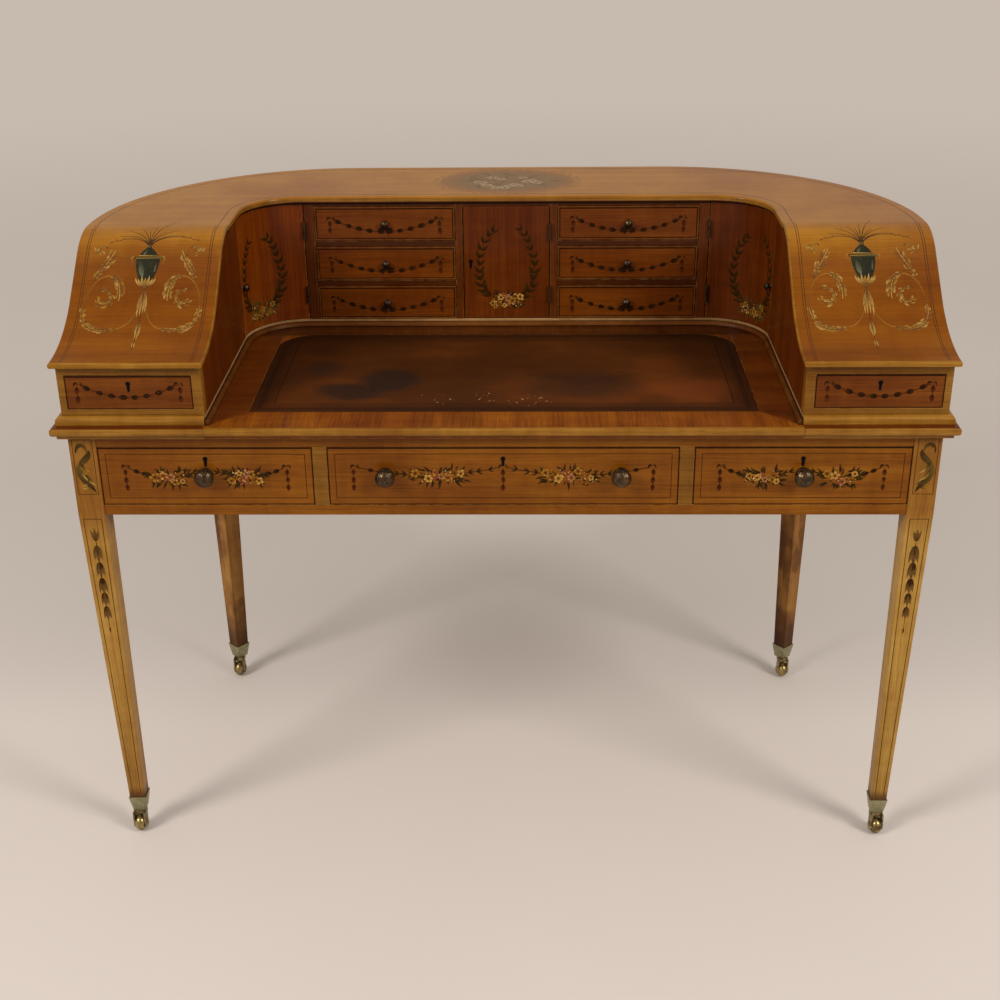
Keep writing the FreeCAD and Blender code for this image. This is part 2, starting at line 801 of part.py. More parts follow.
def drawer_front(name, x, y, z, knobs):
    """A drawer front in an opening, with holes for its knobs."""
    front = board(f"{name}_face", (f"{x[0]} + drawer_gap", f"{x[1]} - drawer_gap"),
                  (y, f"{y} + front_thick"), (f"{z[0]} + drawer_gap", f"{z[1]} - drawer_gap"))
    front = eased(front, "front_round", lies_on("y", y))
    holes = [shank_hole(f"{name}_hole_{n}", at_x, y, at_z) for n, (at_x, at_z) in enumerate(knobs)]
    return cut(f"{name}_bored", front, *holes)


def drawer_box(name, x, y, z, length):
    """The boards behind a drawer front."""
    low_x, high_x = f"{x[0]} + drawer_gap + box_slack", f"{x[1]} - drawer_gap - box_slack"
    low_z, high_z = f"{z[0]} + drawer_gap / 2", f"{z[1]} - box_drop"
    near, far = f"{y} + front_thick", f"{y} + {length}"
    inside = (f"{low_x} + box_thick", f"{high_x} - box_thick")
    return [
        board(f"{name}_side_a", (low_x, inside[0]), (near, far), (low_z, high_z)),
        board(f"{name}_side_b", (inside[1], high_x), (near, far), (low_z, high_z)),
        board(f"{name}_back", inside, (f"{far} - box_thick", far),
              (f"{low_z} + bottom_lift", high_z)),
        board(f"{name}_bottom", inside, (near, f"{far} - box_thick"),
              (f"{low_z} + bottom_lift", f"{low_z} + bottom_lift + bottom_thick")),
    ]


def lock(name, x, y, top):
    """A lock case on the back of a front, below its top edge."""
    return board(name, (f"{x} - lock_width / 2", f"{x} + lock_width / 2"),
                 (f"{y} + front_thick", f"{y} + front_thick + lock_thick"),
                 (f"{top} - lock_drop - lock_height", f"{top} - lock_drop"))


side_x = both_sides(1, "divider_outer", LEG_INNER)
centre_x = ("-divider_inner", "divider_inner")
for name, x, length, knobs in (
    ("left_frieze_drawer", both_sides(-1, *side_x), "side_drawer_length", ["-side_knob_x"]),
    ("centre_frieze_drawer", centre_x, "centre_drawer_length", ["-centre_knob_x", "centre_knob_x"]),
    ("right_frieze_drawer", side_x, "side_drawer_length", ["side_knob_x"]),
):
    places = [(at_x, "frieze_knob_height") for at_x in knobs]
    keep(f"{name}_front", drawer_front(name, x, RAIL_FRONT, FRIEZE_Z, places))
    keep(f"{name}_box", group(f"{name}_boards", drawer_box(name, x, RAIL_FRONT, FRIEZE_Z, length)))
    handles = [
        front_knob(f"{name}_knob_{n}", "frieze_knob_radius", "frieze_knob_reach", "front_thick",
                   at_x, RAIL_FRONT, at_z)
        for n, (at_x, at_z) in enumerate(places)
    ]
    handles.append(lock(f"{name}_lock", f"(({x[0]}) + ({x[1]})) / 2", RAIL_FRONT,
                        f"{DRAWER_HIGH} - box_drop"))
    keep(f"{name}_fittings", group(f"{name}_brass", handles))

ARM_Z = ("arm_opening_low", "arm_opening_high")
for side, hand in ((-1, "left"), (1, "right")):
    name = f"{hand}_arm_drawer"
    face_x = both_sides(side, "arm_opening_inner", "arm_opening_outer")
    box_x = both_sides(side, "arm_inner + arm_wall_thick", CASE_INNER_HALF)
    keep(name, group(name, [drawer_front(f"{name}_part", face_x, CASE_FRONT, ARM_Z, [])]
                     + drawer_box(name, box_x, CASE_FRONT, ARM_Z, "arm_drawer_length")))
    keep(f"{name}_lock", lock(f"{name}_lock", f"(({face_x[0]}) + ({face_x[1]})) / 2", CASE_FRONT,
                              "arm_opening_high - box_drop"))

for side, hand in ((-1, "left"), (1, "right")):
    bank = both_sides(side, "bank_inner", "bank_outer")
    middle = f"{side} * (bank_inner + bank_outer) / 2"
    for number, level in enumerate(("lower", "middle", "upper")):
        name = f"{hand}_{level}_drawer"
        height = tier(number)
        centre = f"(({height[0]}) + ({height[1]})) / 2"
        keep(name, group(name, [
            drawer_front(f"{name}_part", bank, "bay_back", height, [(middle, centre)])
        ] + drawer_box(name, bank, "bay_back", height, "small_drawer_length")))
        keep(f"{name}_knob", front_knob(f"{name}_knob", "small_knob_radius", "small_knob_reach",
                                        "front_thick", middle, "bay_back", centre))

# Doors: a flat one in the middle, and a curved one in each inner corner of the case.

def hinge_leaf(name, x, toward, low, knuckles, bored):
    """A hinge leaf beside a hinge line at x, with some of the three knuckles round its pin.
    A bored leaf turns on the pin; the other leaf holds it."""
    line_y = "bay_back - hinge_ahead"
    third = "hinge_height / 3"
    play = "pin_slack" if bored else "0"
    span = (f"{x} + hinge_part", f"{x} + hinge_leaf")
    if toward < 0:
        span = (f"{x} - hinge_leaf", f"{x} - hinge_part")
    flap = board(f"{name}_leaf", span, (line_y, "bay_back + hinge_depth"),
                 (low, f"{low} + hinge_height"))
    rolls = [rod(f"{name}_knuckle_{n}", "knuckle_radius", f"{low} + {n} * {third} + {play}",
                 f"{third} - 2 * {play}", (x, line_y)) for n in knuckles]
    rooms = [rod(f"{name}_room_{n}", "knuckle_radius + pin_slack",
                 f"{low} + {n} * {third} - pin_slack", f"{third} + 2 * pin_slack", (x, line_y))
             for n in range(3) if n not in knuckles]
    leaf = joined(f"{name}_whole", cut(f"{name}_relieved", flap, *rooms), *rolls)
    pin = rod(f"{name}_pin", f"pin_radius + {play}", low, "hinge_height", (x, line_y))
    return cut(f"{name}_bored", leaf, pin) if bored else joined(f"{name}_pinned", leaf, pin)


DOOR_LOW = f"{FLOOR_TOP} + drawer_gap"
frame_leaves = []


def hinges(name, x, door_side, top):
    """The two hinges of a door at a hinge line; returns the leaves that move with the door."""
    moving = []
    for number, low in enumerate((f"{DOOR_LOW} + hinge_inset - hinge_height / 2",
                                  f"{top} - hinge_inset - hinge_height / 2")):
        moving.append(hinge_leaf(f"{name}_door_{number}", x, door_side, low, (1,), True))
        frame_leaves.append(hinge_leaf(f"{name}_frame_{number}", x, -door_side, low, (0, 2), False))
    return moving


centre_top = f"{BANK_TOP} - drawer_gap"
centre_door = board("centre_door_board", ("-door_half_opening + door_gap",
                                          "door_half_opening - hinge_gap"),
                    ("bay_back", "bay_back + door_thick"), (DOOR_LOW, centre_top))
keep("centre_door", eased(centre_door, "door_round", lies_on("y", "bay_back")))
door_lock = lock(
    "centre_door_lock", "-door_half_opening + door_gap + lock_width / 2 + lock_drop",
    "bay_back + door_thick - front_thick", f"({DOOR_LOW} + {centre_top} + lock_height) / 2")
keep("centre_door_fittings", group("centre_door_brass", [door_lock] + hinges(
    "centre_hinge", "door_half_opening - hinge_gap / 2", -1, centre_top)))

# The end of the arm wall is this far from a corner door's hinge line; the door's closing edge is
# bevelled to swing clear of it.
DOOR_SWING = "sqrt((bay_corner - hinge_gap / 2)^2 + (bay_corner - hinge_ahead)^2)"
for side, hand in ((-1, "left"), (1, "right")):
    name = f"{hand}_corner_door"
    start = "corner_door_slack" if side > 0 else "90 + corner_door_slack"
    pie = bind(doc.addObject("Part::Cylinder", f"{name}_pie"), Radius="bay_corner + door_thick",
               Height=f"corner_door_top - ({DOOR_LOW})", Angle="90 - 2 * corner_door_slack",
               Placement__Base__x=f"{side} * ({BAY_X})", Placement__Base__y=BAY_Y,
               Placement__Base__z=DOOR_LOW, Placement__Rotation__Angle=start)
    hollow = rod(f"{name}_hollow", "bay_corner", DOOR_LOW, "desk_height",
                 (f"{side} * ({BAY_X})", BAY_Y))
    angle = "corner_knob_angle" if side > 0 else "180 - corner_knob_angle"
    place = (f"{side} * ({BAY_X}) + (bay_corner + corner_knob_seat) * cos({angle})",
             f"{BAY_Y} + (bay_corner + corner_knob_seat) * sin({angle})")
    inward = FreeCAD.Vector(-math.cos(math.radians(value(angle))),
                            -math.sin(math.radians(value(angle))), 0)
    # The knob's shank goes into a bore, and its foot stands on a flat cut into the hollow face.
    seats = []
    for part, radius, way in (("bore", "shank_radius", -1),
                              ("flat", "small_knob_radius * knob_foot", 1)):
        seat = doc.addObject("Part::Cylinder", f"{name}_{part}")
        bind(seat, Radius=f"{radius} + shank_slack", Height="corner_knob_hold",
             Placement__Base__x=place[0], Placement__Base__y=place[1],
             Placement__Base__z="corner_knob_height")
        seat.Placement.Rotation = FreeCAD.Rotation(FreeCAD.Vector(0, 0, 1), inward * way)
        seats.append(seat)
    handle = knob(f"{name}_handle", "small_knob_radius", "small_knob_reach", "corner_knob_hold")
    handle.Placement.Rotation = FreeCAD.Rotation(FreeCAD.Vector(0, 0, 1), inward)
    bind(handle, Placement__Base__x=place[0], Placement__Base__y=place[1],
         Placement__Base__z="corner_knob_height")
    hinge_x = f"{side} * ({BAY_X} + hinge_gap / 2)"
    swing = rod(f"{name}_swing", f"{DOOR_SWING} - door_swing_slack", DOOR_LOW, "desk_height",
                (hinge_x, "bay_back - hinge_ahead"))
    bevelled = doc.addObject("Part::Common", f"{name}_bevelled")
    bevelled.Base = pie
    bevelled.Tool = swing
    keep(name, cut(name, bevelled, hollow, *seats))
    keep(f"{name}_fittings", group(f"{name}_brass", [handle] + hinges(
        f"{hand}_hinge", hinge_x, side, "corner_door_top")))
keep("hinge_frame_leaves", group("hinge_frame_leaves", frame_leaves))

# Casters: a square brass cup on each foot, a swivelling fork with domed cheeks, and a round-edged
# wheel between them. The wheels stand forward of their cups.

CUP_LOW = "leg_end + cup_lap - cup_high"
cups = []
for name, (x, y, turn) in CASTERS.items():
    cup = doc.addObject("PartDesign::Body", f"{name}_cup")
    mouth = sketch_in(cup, "XY_Plane", "leg_end + cup_lap")
    outline(mouth, square("cup_top / 2"))
    base = sketch_in(cup, "XY_Plane", CUP_LOW)
    outline(base, square("cup_foot / 2"))
    shell = cup.newObject("PartDesign::AdditiveLoft", f"{name}_cup_loft")
    shell.Profile = mouth
    shell.Sections = [base]
    shell.Ruled = True
    bind(cup, Placement__Base__x=x, Placement__Base__y=y, Placement__Rotation__Angle=turn)
    socket = plate(f"{name}_socket", square("leg_foot / 2 + cup_slack / 2"), "leg_end",
                   "leg_end + 2 * cup_lap")
    bind(socket, Placement__Base__x=x, Placement__Base__y=y, Placement__Rotation__Angle=turn)
    well = rod(f"{name}_well", "pintle_radius + pintle_slack", f"{CUP_LOW} - 1",
               "pintle_high + 2", (x, y))
    cups.append(cut(f"{name}_cup_bored", cup, socket, well))

    wheel_y = f"{y} - caster_trail"
    fork_top = f"{CUP_LOW} - fork_drop"
    fork_x = (f"{x} - fork_half_width", f"{x} + fork_half_width")
    parts = [
        rod(f"{name}_pintle", "pintle_radius", f"{fork_top} - fork_thick",
            "pintle_high + fork_thick", (x, y)),
        rod(f"{name}_crown", "fork_half_width", f"{fork_top} - fork_thick", "fork_thick", (x, y)),
        board(f"{name}_bridge", fork_x, (wheel_y, y), (f"{fork_top} - fork_thick", fork_top)),
        rod(f"{name}_axle", "axle_radius", fork_x[0], "2 * fork_half_width",
            (wheel_y, "wheel_radius"), FreeCAD.Vector(1, 0, 0)),
    ]
    cap_bow = "(cheek_round^2 + cheek_cap^2) / (2 * cheek_cap)"
    for edge, low, outside, way in (("a", fork_x[0], fork_x[0], -1),
                                    ("b", f"{fork_x[1]} - cheek_thick", fork_x[1], 1)):
        cap = turned(f"{name}_cap_{edge}", [
            ("0", "0"), ("cheek_round", "0", 1, cap_bow), ("0", "cheek_cap"),
        ])
        cap.Placement.Rotation = FreeCAD.Rotation(FreeCAD.Vector(0, way, 0), 90)
        bind(cap, Placement__Base__x=outside, Placement__Base__y=wheel_y,
             Placement__Base__z="wheel_radius")
        parts += [
            board(f"{name}_cheek_{edge}", (low, f"{low} + cheek_thick"),
                  (f"{wheel_y} - cheek_round", f"{wheel_y} + cheek_round"),
                  ("wheel_radius", fork_top)),
            rod(f"{name}_boss_{edge}", "cheek_round", low, "cheek_thick",
                (wheel_y, "wheel_radius"), FreeCAD.Vector(1, 0, 0)),
            cap,
        ]
    keep(f"{name}_caster_fork", joined(f"{name}_caster_fork", *parts))

    swell = "(wheel_radius - wheel_shoulder)"
    bow = f"(wheel_half_width^2 + {swell}^2) / (2 * {swell})"
    bore = "axle_radius + axle_slack"
    wheel = turned(f"{name}_caster_wheel", [
        (bore, "-wheel_half_width"),
        ("wheel_shoulder", "-wheel_half_width", 1, bow),
        ("wheel_shoulder", "wheel_half_width"),
        (bore, "wheel_half_width"),
    ])
    wheel.Placement.Rotation = FreeCAD.Rotation(FreeCAD.Vector(0, 1, 0), 90)
    bind(wheel, Placement__Base__x=x, Placement__Base__y=wheel_y, Placement__Base__z="wheel_radius")
    keep(f"{name}_caster_wheel", wheel)
keep("caster_cups", group("caster_cups", cups))

# Every object is sound before any piece is written.
doc.recompute()
for thing in doc.Objects:
    if {"Invalid", "Error"} & set(thing.State):
        raise RuntimeError(f"{thing.Name}: {thing.State}")
for name, thing in NODES.items():
    if thing.Shape.isNull() or not thing.Shape.isValid():
        raise RuntimeError(f"{name} has no sound shape")

os.makedirs("parts", exist_ok=True)
for name, thing in NODES.items():
    thing.Shape.exportStep(f"parts/{name}.step")
    print(name, len(thing.Shape.Solids), "solids", round(thing.Shape.Volume / 1000), "cm3")
print(len(NODES), "pieces")
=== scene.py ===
# %% [markdown]
# # A painted satinwood writing desk
# The desk stands on four tapered legs, and a raised case of small drawers and cupboards runs round a
# leather writing slide. Its solids are already modelled. This lesson gives them their
# finishes, and adds what is too thin for a solid: the painted ornament, the inlaid lines, the drawer
# beads and the keyholes.

# %% Load the desk
import cmath
import math
import random

import bmesh
import bpy
from mathutils import Matrix, Vector
from mathutils.bvhtree import BVHTree

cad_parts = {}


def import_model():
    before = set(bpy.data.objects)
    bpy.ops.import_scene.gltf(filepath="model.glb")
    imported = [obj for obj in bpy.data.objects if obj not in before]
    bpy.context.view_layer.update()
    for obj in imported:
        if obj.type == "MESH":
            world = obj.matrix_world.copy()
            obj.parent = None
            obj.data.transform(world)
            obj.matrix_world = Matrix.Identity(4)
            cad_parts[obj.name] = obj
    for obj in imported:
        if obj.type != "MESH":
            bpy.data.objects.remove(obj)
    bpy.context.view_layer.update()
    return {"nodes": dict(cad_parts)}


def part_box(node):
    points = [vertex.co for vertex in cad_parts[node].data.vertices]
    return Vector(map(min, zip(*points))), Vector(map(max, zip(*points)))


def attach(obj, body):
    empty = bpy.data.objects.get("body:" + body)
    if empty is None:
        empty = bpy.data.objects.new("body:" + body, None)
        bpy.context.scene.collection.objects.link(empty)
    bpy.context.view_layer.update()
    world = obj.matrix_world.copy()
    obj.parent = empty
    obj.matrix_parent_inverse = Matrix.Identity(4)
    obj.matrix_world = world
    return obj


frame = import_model()
nodes = frame["nodes"]
MM = 0.001
HANDS = {"left": -1, "right": 1}


def add_object(name, data):
    """A new object in the scene."""
    made = bpy.data.objects.new(name, data)
    bpy.context.scene.collection.objects.link(made)
    return made


# %% [markdown]
# ## Camera
# The photograph was taken from standing height, looking down at the desk. The camera's place and turn
# were worked out from the desk's known corners, so that every edge falls where the photograph has it.

# %% Camera
CAMERA_PLACE = Vector((0.0429, -2.4146, 1.6276))
CAMERA_SWING = math.radians(1.321)
CAMERA_DIP = math.radians(25.396)
CAMERA_ROLL = math.radians(-0.588)
FOCAL_PIXELS = 1489.4
IMAGE_PIXELS = 1000

camera = add_object("camera", bpy.data.cameras.new("camera"))
camera.data.lens = camera.data.sensor_width * FOCAL_PIXELS / IMAGE_PIXELS
camera.matrix_world = (
    Matrix.Translation(CAMERA_PLACE)
    @ Matrix.Rotation(CAMERA_SWING, 4, "Z")
    @ Matrix.Rotation(math.pi / 2 - CAMERA_DIP, 4, "X")
    @ Matrix.Rotation(CAMERA_ROLL, 4, "Z")
)
bpy.context.scene.camera = camera
print("camera lens", round(camera.data.lens, 2), "mm")

# %% [markdown]
# ## Shader sums in plain Python
# A finish is a small sum: so much grain, less where the pores are, more at the worn edges. Wiring such
# sums by hand hides them, so a wire here behaves like a number, and each operator adds its own node.

# %% Wires
class Wire:
    """An output of a shader node that can be reckoned with like a number."""

    def __init__(self, socket):
        self.socket = socket

    def node(self, kind, settings=None, sockets=None, out=0):
        """Makes any node: its settings are set first, then its sockets get values or links."""
        tree = self.socket.id_data
        made = tree.nodes.new(kind)
        for name, setting in (settings or {}).items():
            setattr(made, name, setting)
        for name, given in (sockets or {}).items():
            fits = [s for s in made.inputs if s.enabled and s.name == name]
            target = made.inputs[name] if isinstance(name, int) else fits[0]
            if isinstance(given, Wire):
                tree.links.new(given.socket, target)
            else:
                target.default_value = given
        shown = [s for s in made.outputs if s.enabled]
        return Wire(shown[out] if isinstance(out, int) else made.outputs[out])

    def reckon(self, operation, *others):
        """A Math node on this wire and others."""
        return self.node("ShaderNodeMath", {"operation": operation},
                         dict(enumerate((self,) + others)))

    def __add__(self, other):
        return self.reckon("ADD", other)

    def __sub__(self, other):
        return self.reckon("SUBTRACT", other)

    def __rsub__(self, other):
        return self.node("ShaderNodeMath", {"operation": "SUBTRACT"}, {0: other, 1: self})

    def __mul__(self, other):
        return self.reckon("MULTIPLY", other)

    def __truediv__(self, other):
        return self.reckon("DIVIDE", other)

    def __gt__(self, limit):
        return self.reckon("GREATER_THAN", limit)

    def __lt__(self, limit):
        return self.reckon("LESS_THAN", limit)

    def __or__(self, other):
        return self.reckon("MAXIMUM", other)

    def __abs__(self):
        return self.reckon("ABSOLUTE")

    __radd__ = __add__
    __rmul__ = __mul__

    def fade(self, low, high):
        """0 below low and 1 above high, with a soft step between; low may be the larger."""
        return self.node("ShaderNodeMapRange", {"interpolation_type": "SMOOTHSTEP"},
                         {"Value": self, "From Min": low, "From Max": high})

    def mix(self, first, second, how="MIX"):
        """One colour where this wire is 0, the other where it is 1."""
        return self.node("ShaderNodeMix", {"data_type": "RGBA", "blend_type": how},
                         {"Factor": self, "A": first, "B": second})

    def noise(self, scale, detail=3.0, rough=0.55):
        """Soft noise over this wire's coordinates."""
        return self.node("ShaderNodeTexNoise", None,
                         {"Vector": self, "Scale": scale, "Detail": detail, "Roughness": rough})

    def ramp(self, stops):
        """A colour that passes from stop to stop; each stop is a place and a colour."""
        made = self.node("ShaderNodeValToRGB", None, {"Fac": self})
        elements = made.socket.node.color_ramp.elements
        while len(elements) < len(stops):
            elements.new(1.0)
        for element, (place, colour) in zip(elements, stops):
            element.position = place
            element.color = colour
        return made

    def bump(self, strength, distance, **more):
        """A normal that takes this wire for a height."""
        return self.node("ShaderNodeBump", None,
                         {"Strength": strength, "Distance": distance, "Height": self, **more})


def tone(red, green, blue):
    """A colour given in the 0 to 255 of a colour picker, as the light it stands for."""
    def light(part):
        part = part / 255
        return part / 12.92 if part <= 0.04045 else ((part + 0.055) / 1.055) ** 2.4
    return (light(red), light(green), light(blue), 1.0)


def new_finish(name):
    """A new material, its object coordinates as a wire, and its Principled shader."""
    material = bpy.data.materials.new(name)
    material.use_nodes = True
    tree = material.node_tree
    place = Wire(tree.nodes.new("ShaderNodeTexCoord").outputs["Object"])
    return material, place, tree.nodes["Principled BSDF"]


def set_finish(shader, **sockets):
    """Sets the shader's sockets; an underscore in a name stands for a space."""
    for name, given in sockets.items():
        target = shader.inputs[name.replace("_", " ")]
        if isinstance(given, Wire):
            shader.id_data.links.new(given.socket, target)
        else:
            target.default_value = given


def axes_of(place):
    """The x, y and z of a position as three wires."""
    split = place.node("ShaderNodeSeparateXYZ", None, {"Vector": place}).socket.node
    return {letter: Wire(split.outputs[letter.upper()]) for letter in "xyz"}


def joined(place, x, y, z):
    """A position made of three wires."""
    return place.node("ShaderNodeCombineXYZ", None, {"X": x, "Y": y, "Z": z})


print("wires ready")

# %% [markdown]
# ## Satinwood
# Satinwood is a golden veneer with fine straight fibres, a slow ribbon of lighter and darker wood, and
# a short mottle across the grain. One could wrap an image round each board, but a pattern worked out
# from the position runs through the solid like real wood, and needs no unwrapping. It is stretched
# along the grain, which runs along x, y or z for each piece. The varnish is a clear coat, thinner where
# hands have rubbed it. A Bevel node finds the edges: there the wood is worn paler.

# %% Wood finishes
GRAIN_ORDER = {"x": "xyz", "y": "yzx", "z": "zxy"}
EDGE_WEAR = 0.0016
LEG_WOOD = (tone(188, 149, 78), tone(169, 129, 57), tone(142, 102, 40))
LEG_BLOCK = (tone(158, 110, 42), tone(140, 93, 31), tone(116, 72, 20))
REAR_LEG = (tone(170, 124, 62), tone(148, 103, 46), tone(122, 80, 32))
STAINED_LEG = (tone(120, 78, 34), tone(98, 58, 22), tone(74, 40, 13))
GRIMY_LEG = (tone(88, 54, 28), tone(72, 42, 22), tone(54, 31, 17))
MOULDING = (tone(164, 118, 44), tone(140, 95, 27), tone(110, 69, 14))
FRAME_WOOD = (tone(146, 100, 34), tone(124, 82, 22), tone(100, 62, 12))
SATINWOOD = (tone(142, 87, 14), tone(124, 71, 5), tone(104, 55, 2))
ARM_WOOD = (tone(122, 66, 10), tone(104, 52, 4), tone(86, 40, 2))
# The slopes and the flat top are one wood in two tones: the slopes' darker tone is painted shade, and the
# flat top's lighter tone is painted light and sheen.
SHADED_SLOPE_WOOD = (tone(133, 76, 6), tone(122, 67, 3), tone(110, 57, 2))
TOP_WOOD = (tone(167, 113, 17), tone(156, 102, 11), tone(143, 89, 6))
# The bay's woods below, down to SHELF_EDGE, are redder aged satinwood, darkened further as painted shade of
# the bay between the arms.
BAY_WOOD = (tone(110, 51, 5), tone(92, 39, 2), tone(74, 28, 1))
# The corner doors are a lit and a shaded copy of one wood: the left door is painted lighter, the right door
# painted darker.
LIT_LEFT_CORNER = (tone(136, 66, 6), tone(116, 52, 2), tone(94, 38, 1))
SHADED_RIGHT_CORNER = (tone(112, 53, 6), tone(95, 41, 2), tone(77, 30, 1))
SMALL_DRAWER = (tone(122, 62, 7), tone(105, 50, 3), tone(86, 37, 2))
BAY_EDGE = (tone(106, 51, 9), tone(88, 40, 5), tone(68, 29, 3))
SHELF_EDGE = (tone(86, 41, 7), tone(71, 31, 3), tone(54, 22, 2))
BAY_SHADE = (tone(70, 30, 4), tone(54, 22, 2), tone(40, 15, 1))
BEAD_WOOD = (tone(112, 66, 20), tone(92, 50, 12), tone(72, 36, 7))
COCK_BEAD = (tone(116, 62, 14), tone(98, 49, 8), tone(78, 37, 5))
CROSS_BAND = (tone(150, 86, 16), tone(125, 66, 7), tone(94, 42, 3))
# The slide's side and back bands are its cross-banding painted darker: painted shade of the arms at the sides
# and of the flat top at the back.
SHADED_SIDE_BAND = (tone(122, 64, 10), tone(104, 49, 5), tone(82, 35, 2))
SHADED_BACK_BAND = (tone(92, 46, 8), tone(76, 35, 5), tone(58, 25, 3))
LINING = (tone(176, 140, 96), tone(156, 119, 76), tone(132, 96, 57))


def veneer(place, tones, grain):
    """The colour and the relief of one cut of wood, with its grain along an axis."""
    axes = axes_of(place)
    along, across, through = (axes[letter] for letter in GRAIN_ORDER[grain])
    sway = (joined(place, along * 2.2, across * 6, through * 6).noise(1.0) - 0.5) * 0.02

    def stretched(lengthwise, crosswise):
        return joined(place, along * lengthwise, (across + sway) * crosswise,
                      (through + sway) * crosswise)

    fibre = stretched(7, 420).noise(1.0, 4.0, 0.65)
    ribbon = stretched(1.6, 38).noise(1.0, 3.0, 0.5)
    mottle = stretched(60, 16).noise(1.0, 2.0, 0.5)
    pores = stretched(55, 1300).noise(1.0, 1.0, 0.5).fade(0.62, 0.74)
    figure = (ribbon - 0.5) * 0.8 + (fibre - 0.5) * 0.9 + (mottle - 0.5) * 0.3 + 0.5
    light, middle, dark = tones
    colour = figure.ramp(((0.22, dark), (0.5, middle), (0.8, light)))
    colour = (pores * 0.35).mix(colour, dark, "MULTIPLY")
    return colour, fibre * 0.6 - pores * 0.8


def wood(name, tones, grain, parts=(), polish=0.16, wear=0.55):
    """A veneered board. Each part is (mask, tones, grain), an area veneered another way."""
    material, place, shader = new_finish(name)
    axes = axes_of(place)
    colour, relief = veneer(place, tones, grain)
    for mask, other_tones, other_grain in parts:
        share = mask(**axes)
        other, other_relief = veneer(place, other_tones, other_grain)
        colour = share.mix(colour, other)
        relief = relief + (other_relief - relief) * share
    patina = place.noise(4.5, 4.0, 0.6)
    colour = patina.fade(0.62, 0.3).mix(colour, tone(228, 214, 200), "MULTIPLY")
    soft_normal = place.node("ShaderNodeBevel", {"samples": 4}, {"Radius": EDGE_WEAR})
    normal = place.node("ShaderNodeNewGeometry", out="Normal")
    facing = place.node("ShaderNodeVectorMath", {"operation": "DOT_PRODUCT"},
                        {0: soft_normal, 1: normal}, out="Value")
    worn = (1 - facing).fade(0.02, 0.25) * place.noise(60.0, 3.0).fade(0.38, 0.6)
    colour = (worn * wear).mix(colour, tone(206, 160, 88))
    handled = place.noise(9.0, 3.0)
    gloss = polish(**axes) if callable(polish) else polish
    bump = relief.bump(0.22, 0.0003, Normal=soft_normal)
    set_finish(shader, Base_Color=colour, Roughness=0.36 + handled * 0.22 + worn * 0.15,
               Coat_Weight=(0.6 + handled * 0.8) * gloss, Coat_Roughness=0.12, Coat_IOR=1.46,
               Specular_IOR_Level=0.08, Normal=bump)
    return material


def beyond(letter, limit):
    """A mask for what lies past a limit along an axis."""
    return lambda **axes: axes[letter] > limit


def before(letter, limit):
    """A mask for what lies short of a limit along an axis."""
    return lambda **axes: axes[letter] < limit


def passing(letter, low, high, most=1.0):
    """A mask that rises along an axis, from 0 at low to its most at high; low may be the larger."""
    return lambda **axes: axes[letter].fade(low, high) * most


def from_corner(x, y, corner_x, corner_y):
    """Distance in plan from the centre of a round corner, for the lines that turn round it."""
    sideways = (abs(x) - corner_x) | 0.0
    back = (y - corner_y) | 0.0
    return (sideways * sideways + back * back).reckon("SQRT")


print("wood finishes ready")

# %% [markdown]
# ## Which board gets which cut
# Drawer fronts, rails and the top have their grain from side to side, and legs, dividers and curved
# walls have it upright, because veneer bends easily across its grain. Mouldings are a paler, yellower
# wood. Where one solid holds two woods, such as a drawer front and its box, a mask on the position
# tells them apart. The slide is cross-banded: its border's grain points at the leather.

# %% Dress the boards
LIP_WIDE = 0.008
EDGE_SLIVER = 0.0005
EDGE_LINE = 0.0025
CORNER = (0.279, -0.049)
TOP_HALF = 0.678
TOP_ROUNDING = 0.9975
TOP_SHADE = 0.9915
BAY_CORNER = (0.352, 0.032)
BAY_BEND = 0.095
BEAD_MIDDLE = 0.0968
BEAD_FOOT = 0.7675
SLOPE_INNER = 0.447
SLOPE_LIP = -0.334
TABLE_SURFACE = 0.7655
TABLE_FRONT = -0.353
LEATHER_HALF = 0.394
LEATHER_FRONT = -0.282
ARM_FRONT_BACK = -0.310
SMALL_FRONT_BACK = 0.150
EDGE_STRIP_BACK = 0.136
BLOCK_BLEND = (0.56, 0.63)
GRIME_BLEND = (0.092, 0.070, 0.85)
DARK_FOOT_BLEND = (0.170, 0.078, 0.9)
CREST_BLEND = (0.955, 0.999)
GLOSS_BLEND = (0.915, 0.990)
BACK_SHADE_BLEND = (0.070, 0.084)
SMALL_DRAWERS = [f"{hand}_{row}_drawer" for hand in HANDS for row in ("lower", "middle", "upper")]
FRIEZE_DRAWERS = [f"{place}_frieze_drawer" for place in ("left", "centre", "right")]


def dress(material, *names):
    """Gives solids a finish."""
    for name in names:
        slots = nodes[name].data.materials
        slots.clear()
        slots.append(material)


def top_edge(x, y, z):
    """The pale edge of the flat top: all of it outside, and below its rounding along the bay."""
    outer = from_corner(x, y, *CORNER) > TOP_HALF - CORNER[0] - EDGE_SLIVER
    inner = from_corner(x, y, *BAY_CORNER) < BAY_BEND + EDGE_LINE
    return outer | (inner * (z < TOP_ROUNDING))


def slope_edge(x, y, z):
    """The pale edges of a slope: both sides and the lip at its foot."""
    return (abs(x) > TOP_HALF - EDGE_SLIVER) | (abs(x) < SLOPE_INNER + EDGE_LINE) | (y < SLOPE_LIP)


def slope_polish(x, y, z):
    """The slope's varnish, which grows as glossy as the flat top's towards the crest."""
    return z.fade(*GLOSS_BLEND) * 0.34 + 0.06


def stains(x, y, z):
    """Dark old stains, long and ragged, as on the rear legs."""
    return joined(x, x * 24, y * 24, z * 11).noise(1.0, 4.0, 0.6).fade(0.43, 0.62) * 0.85


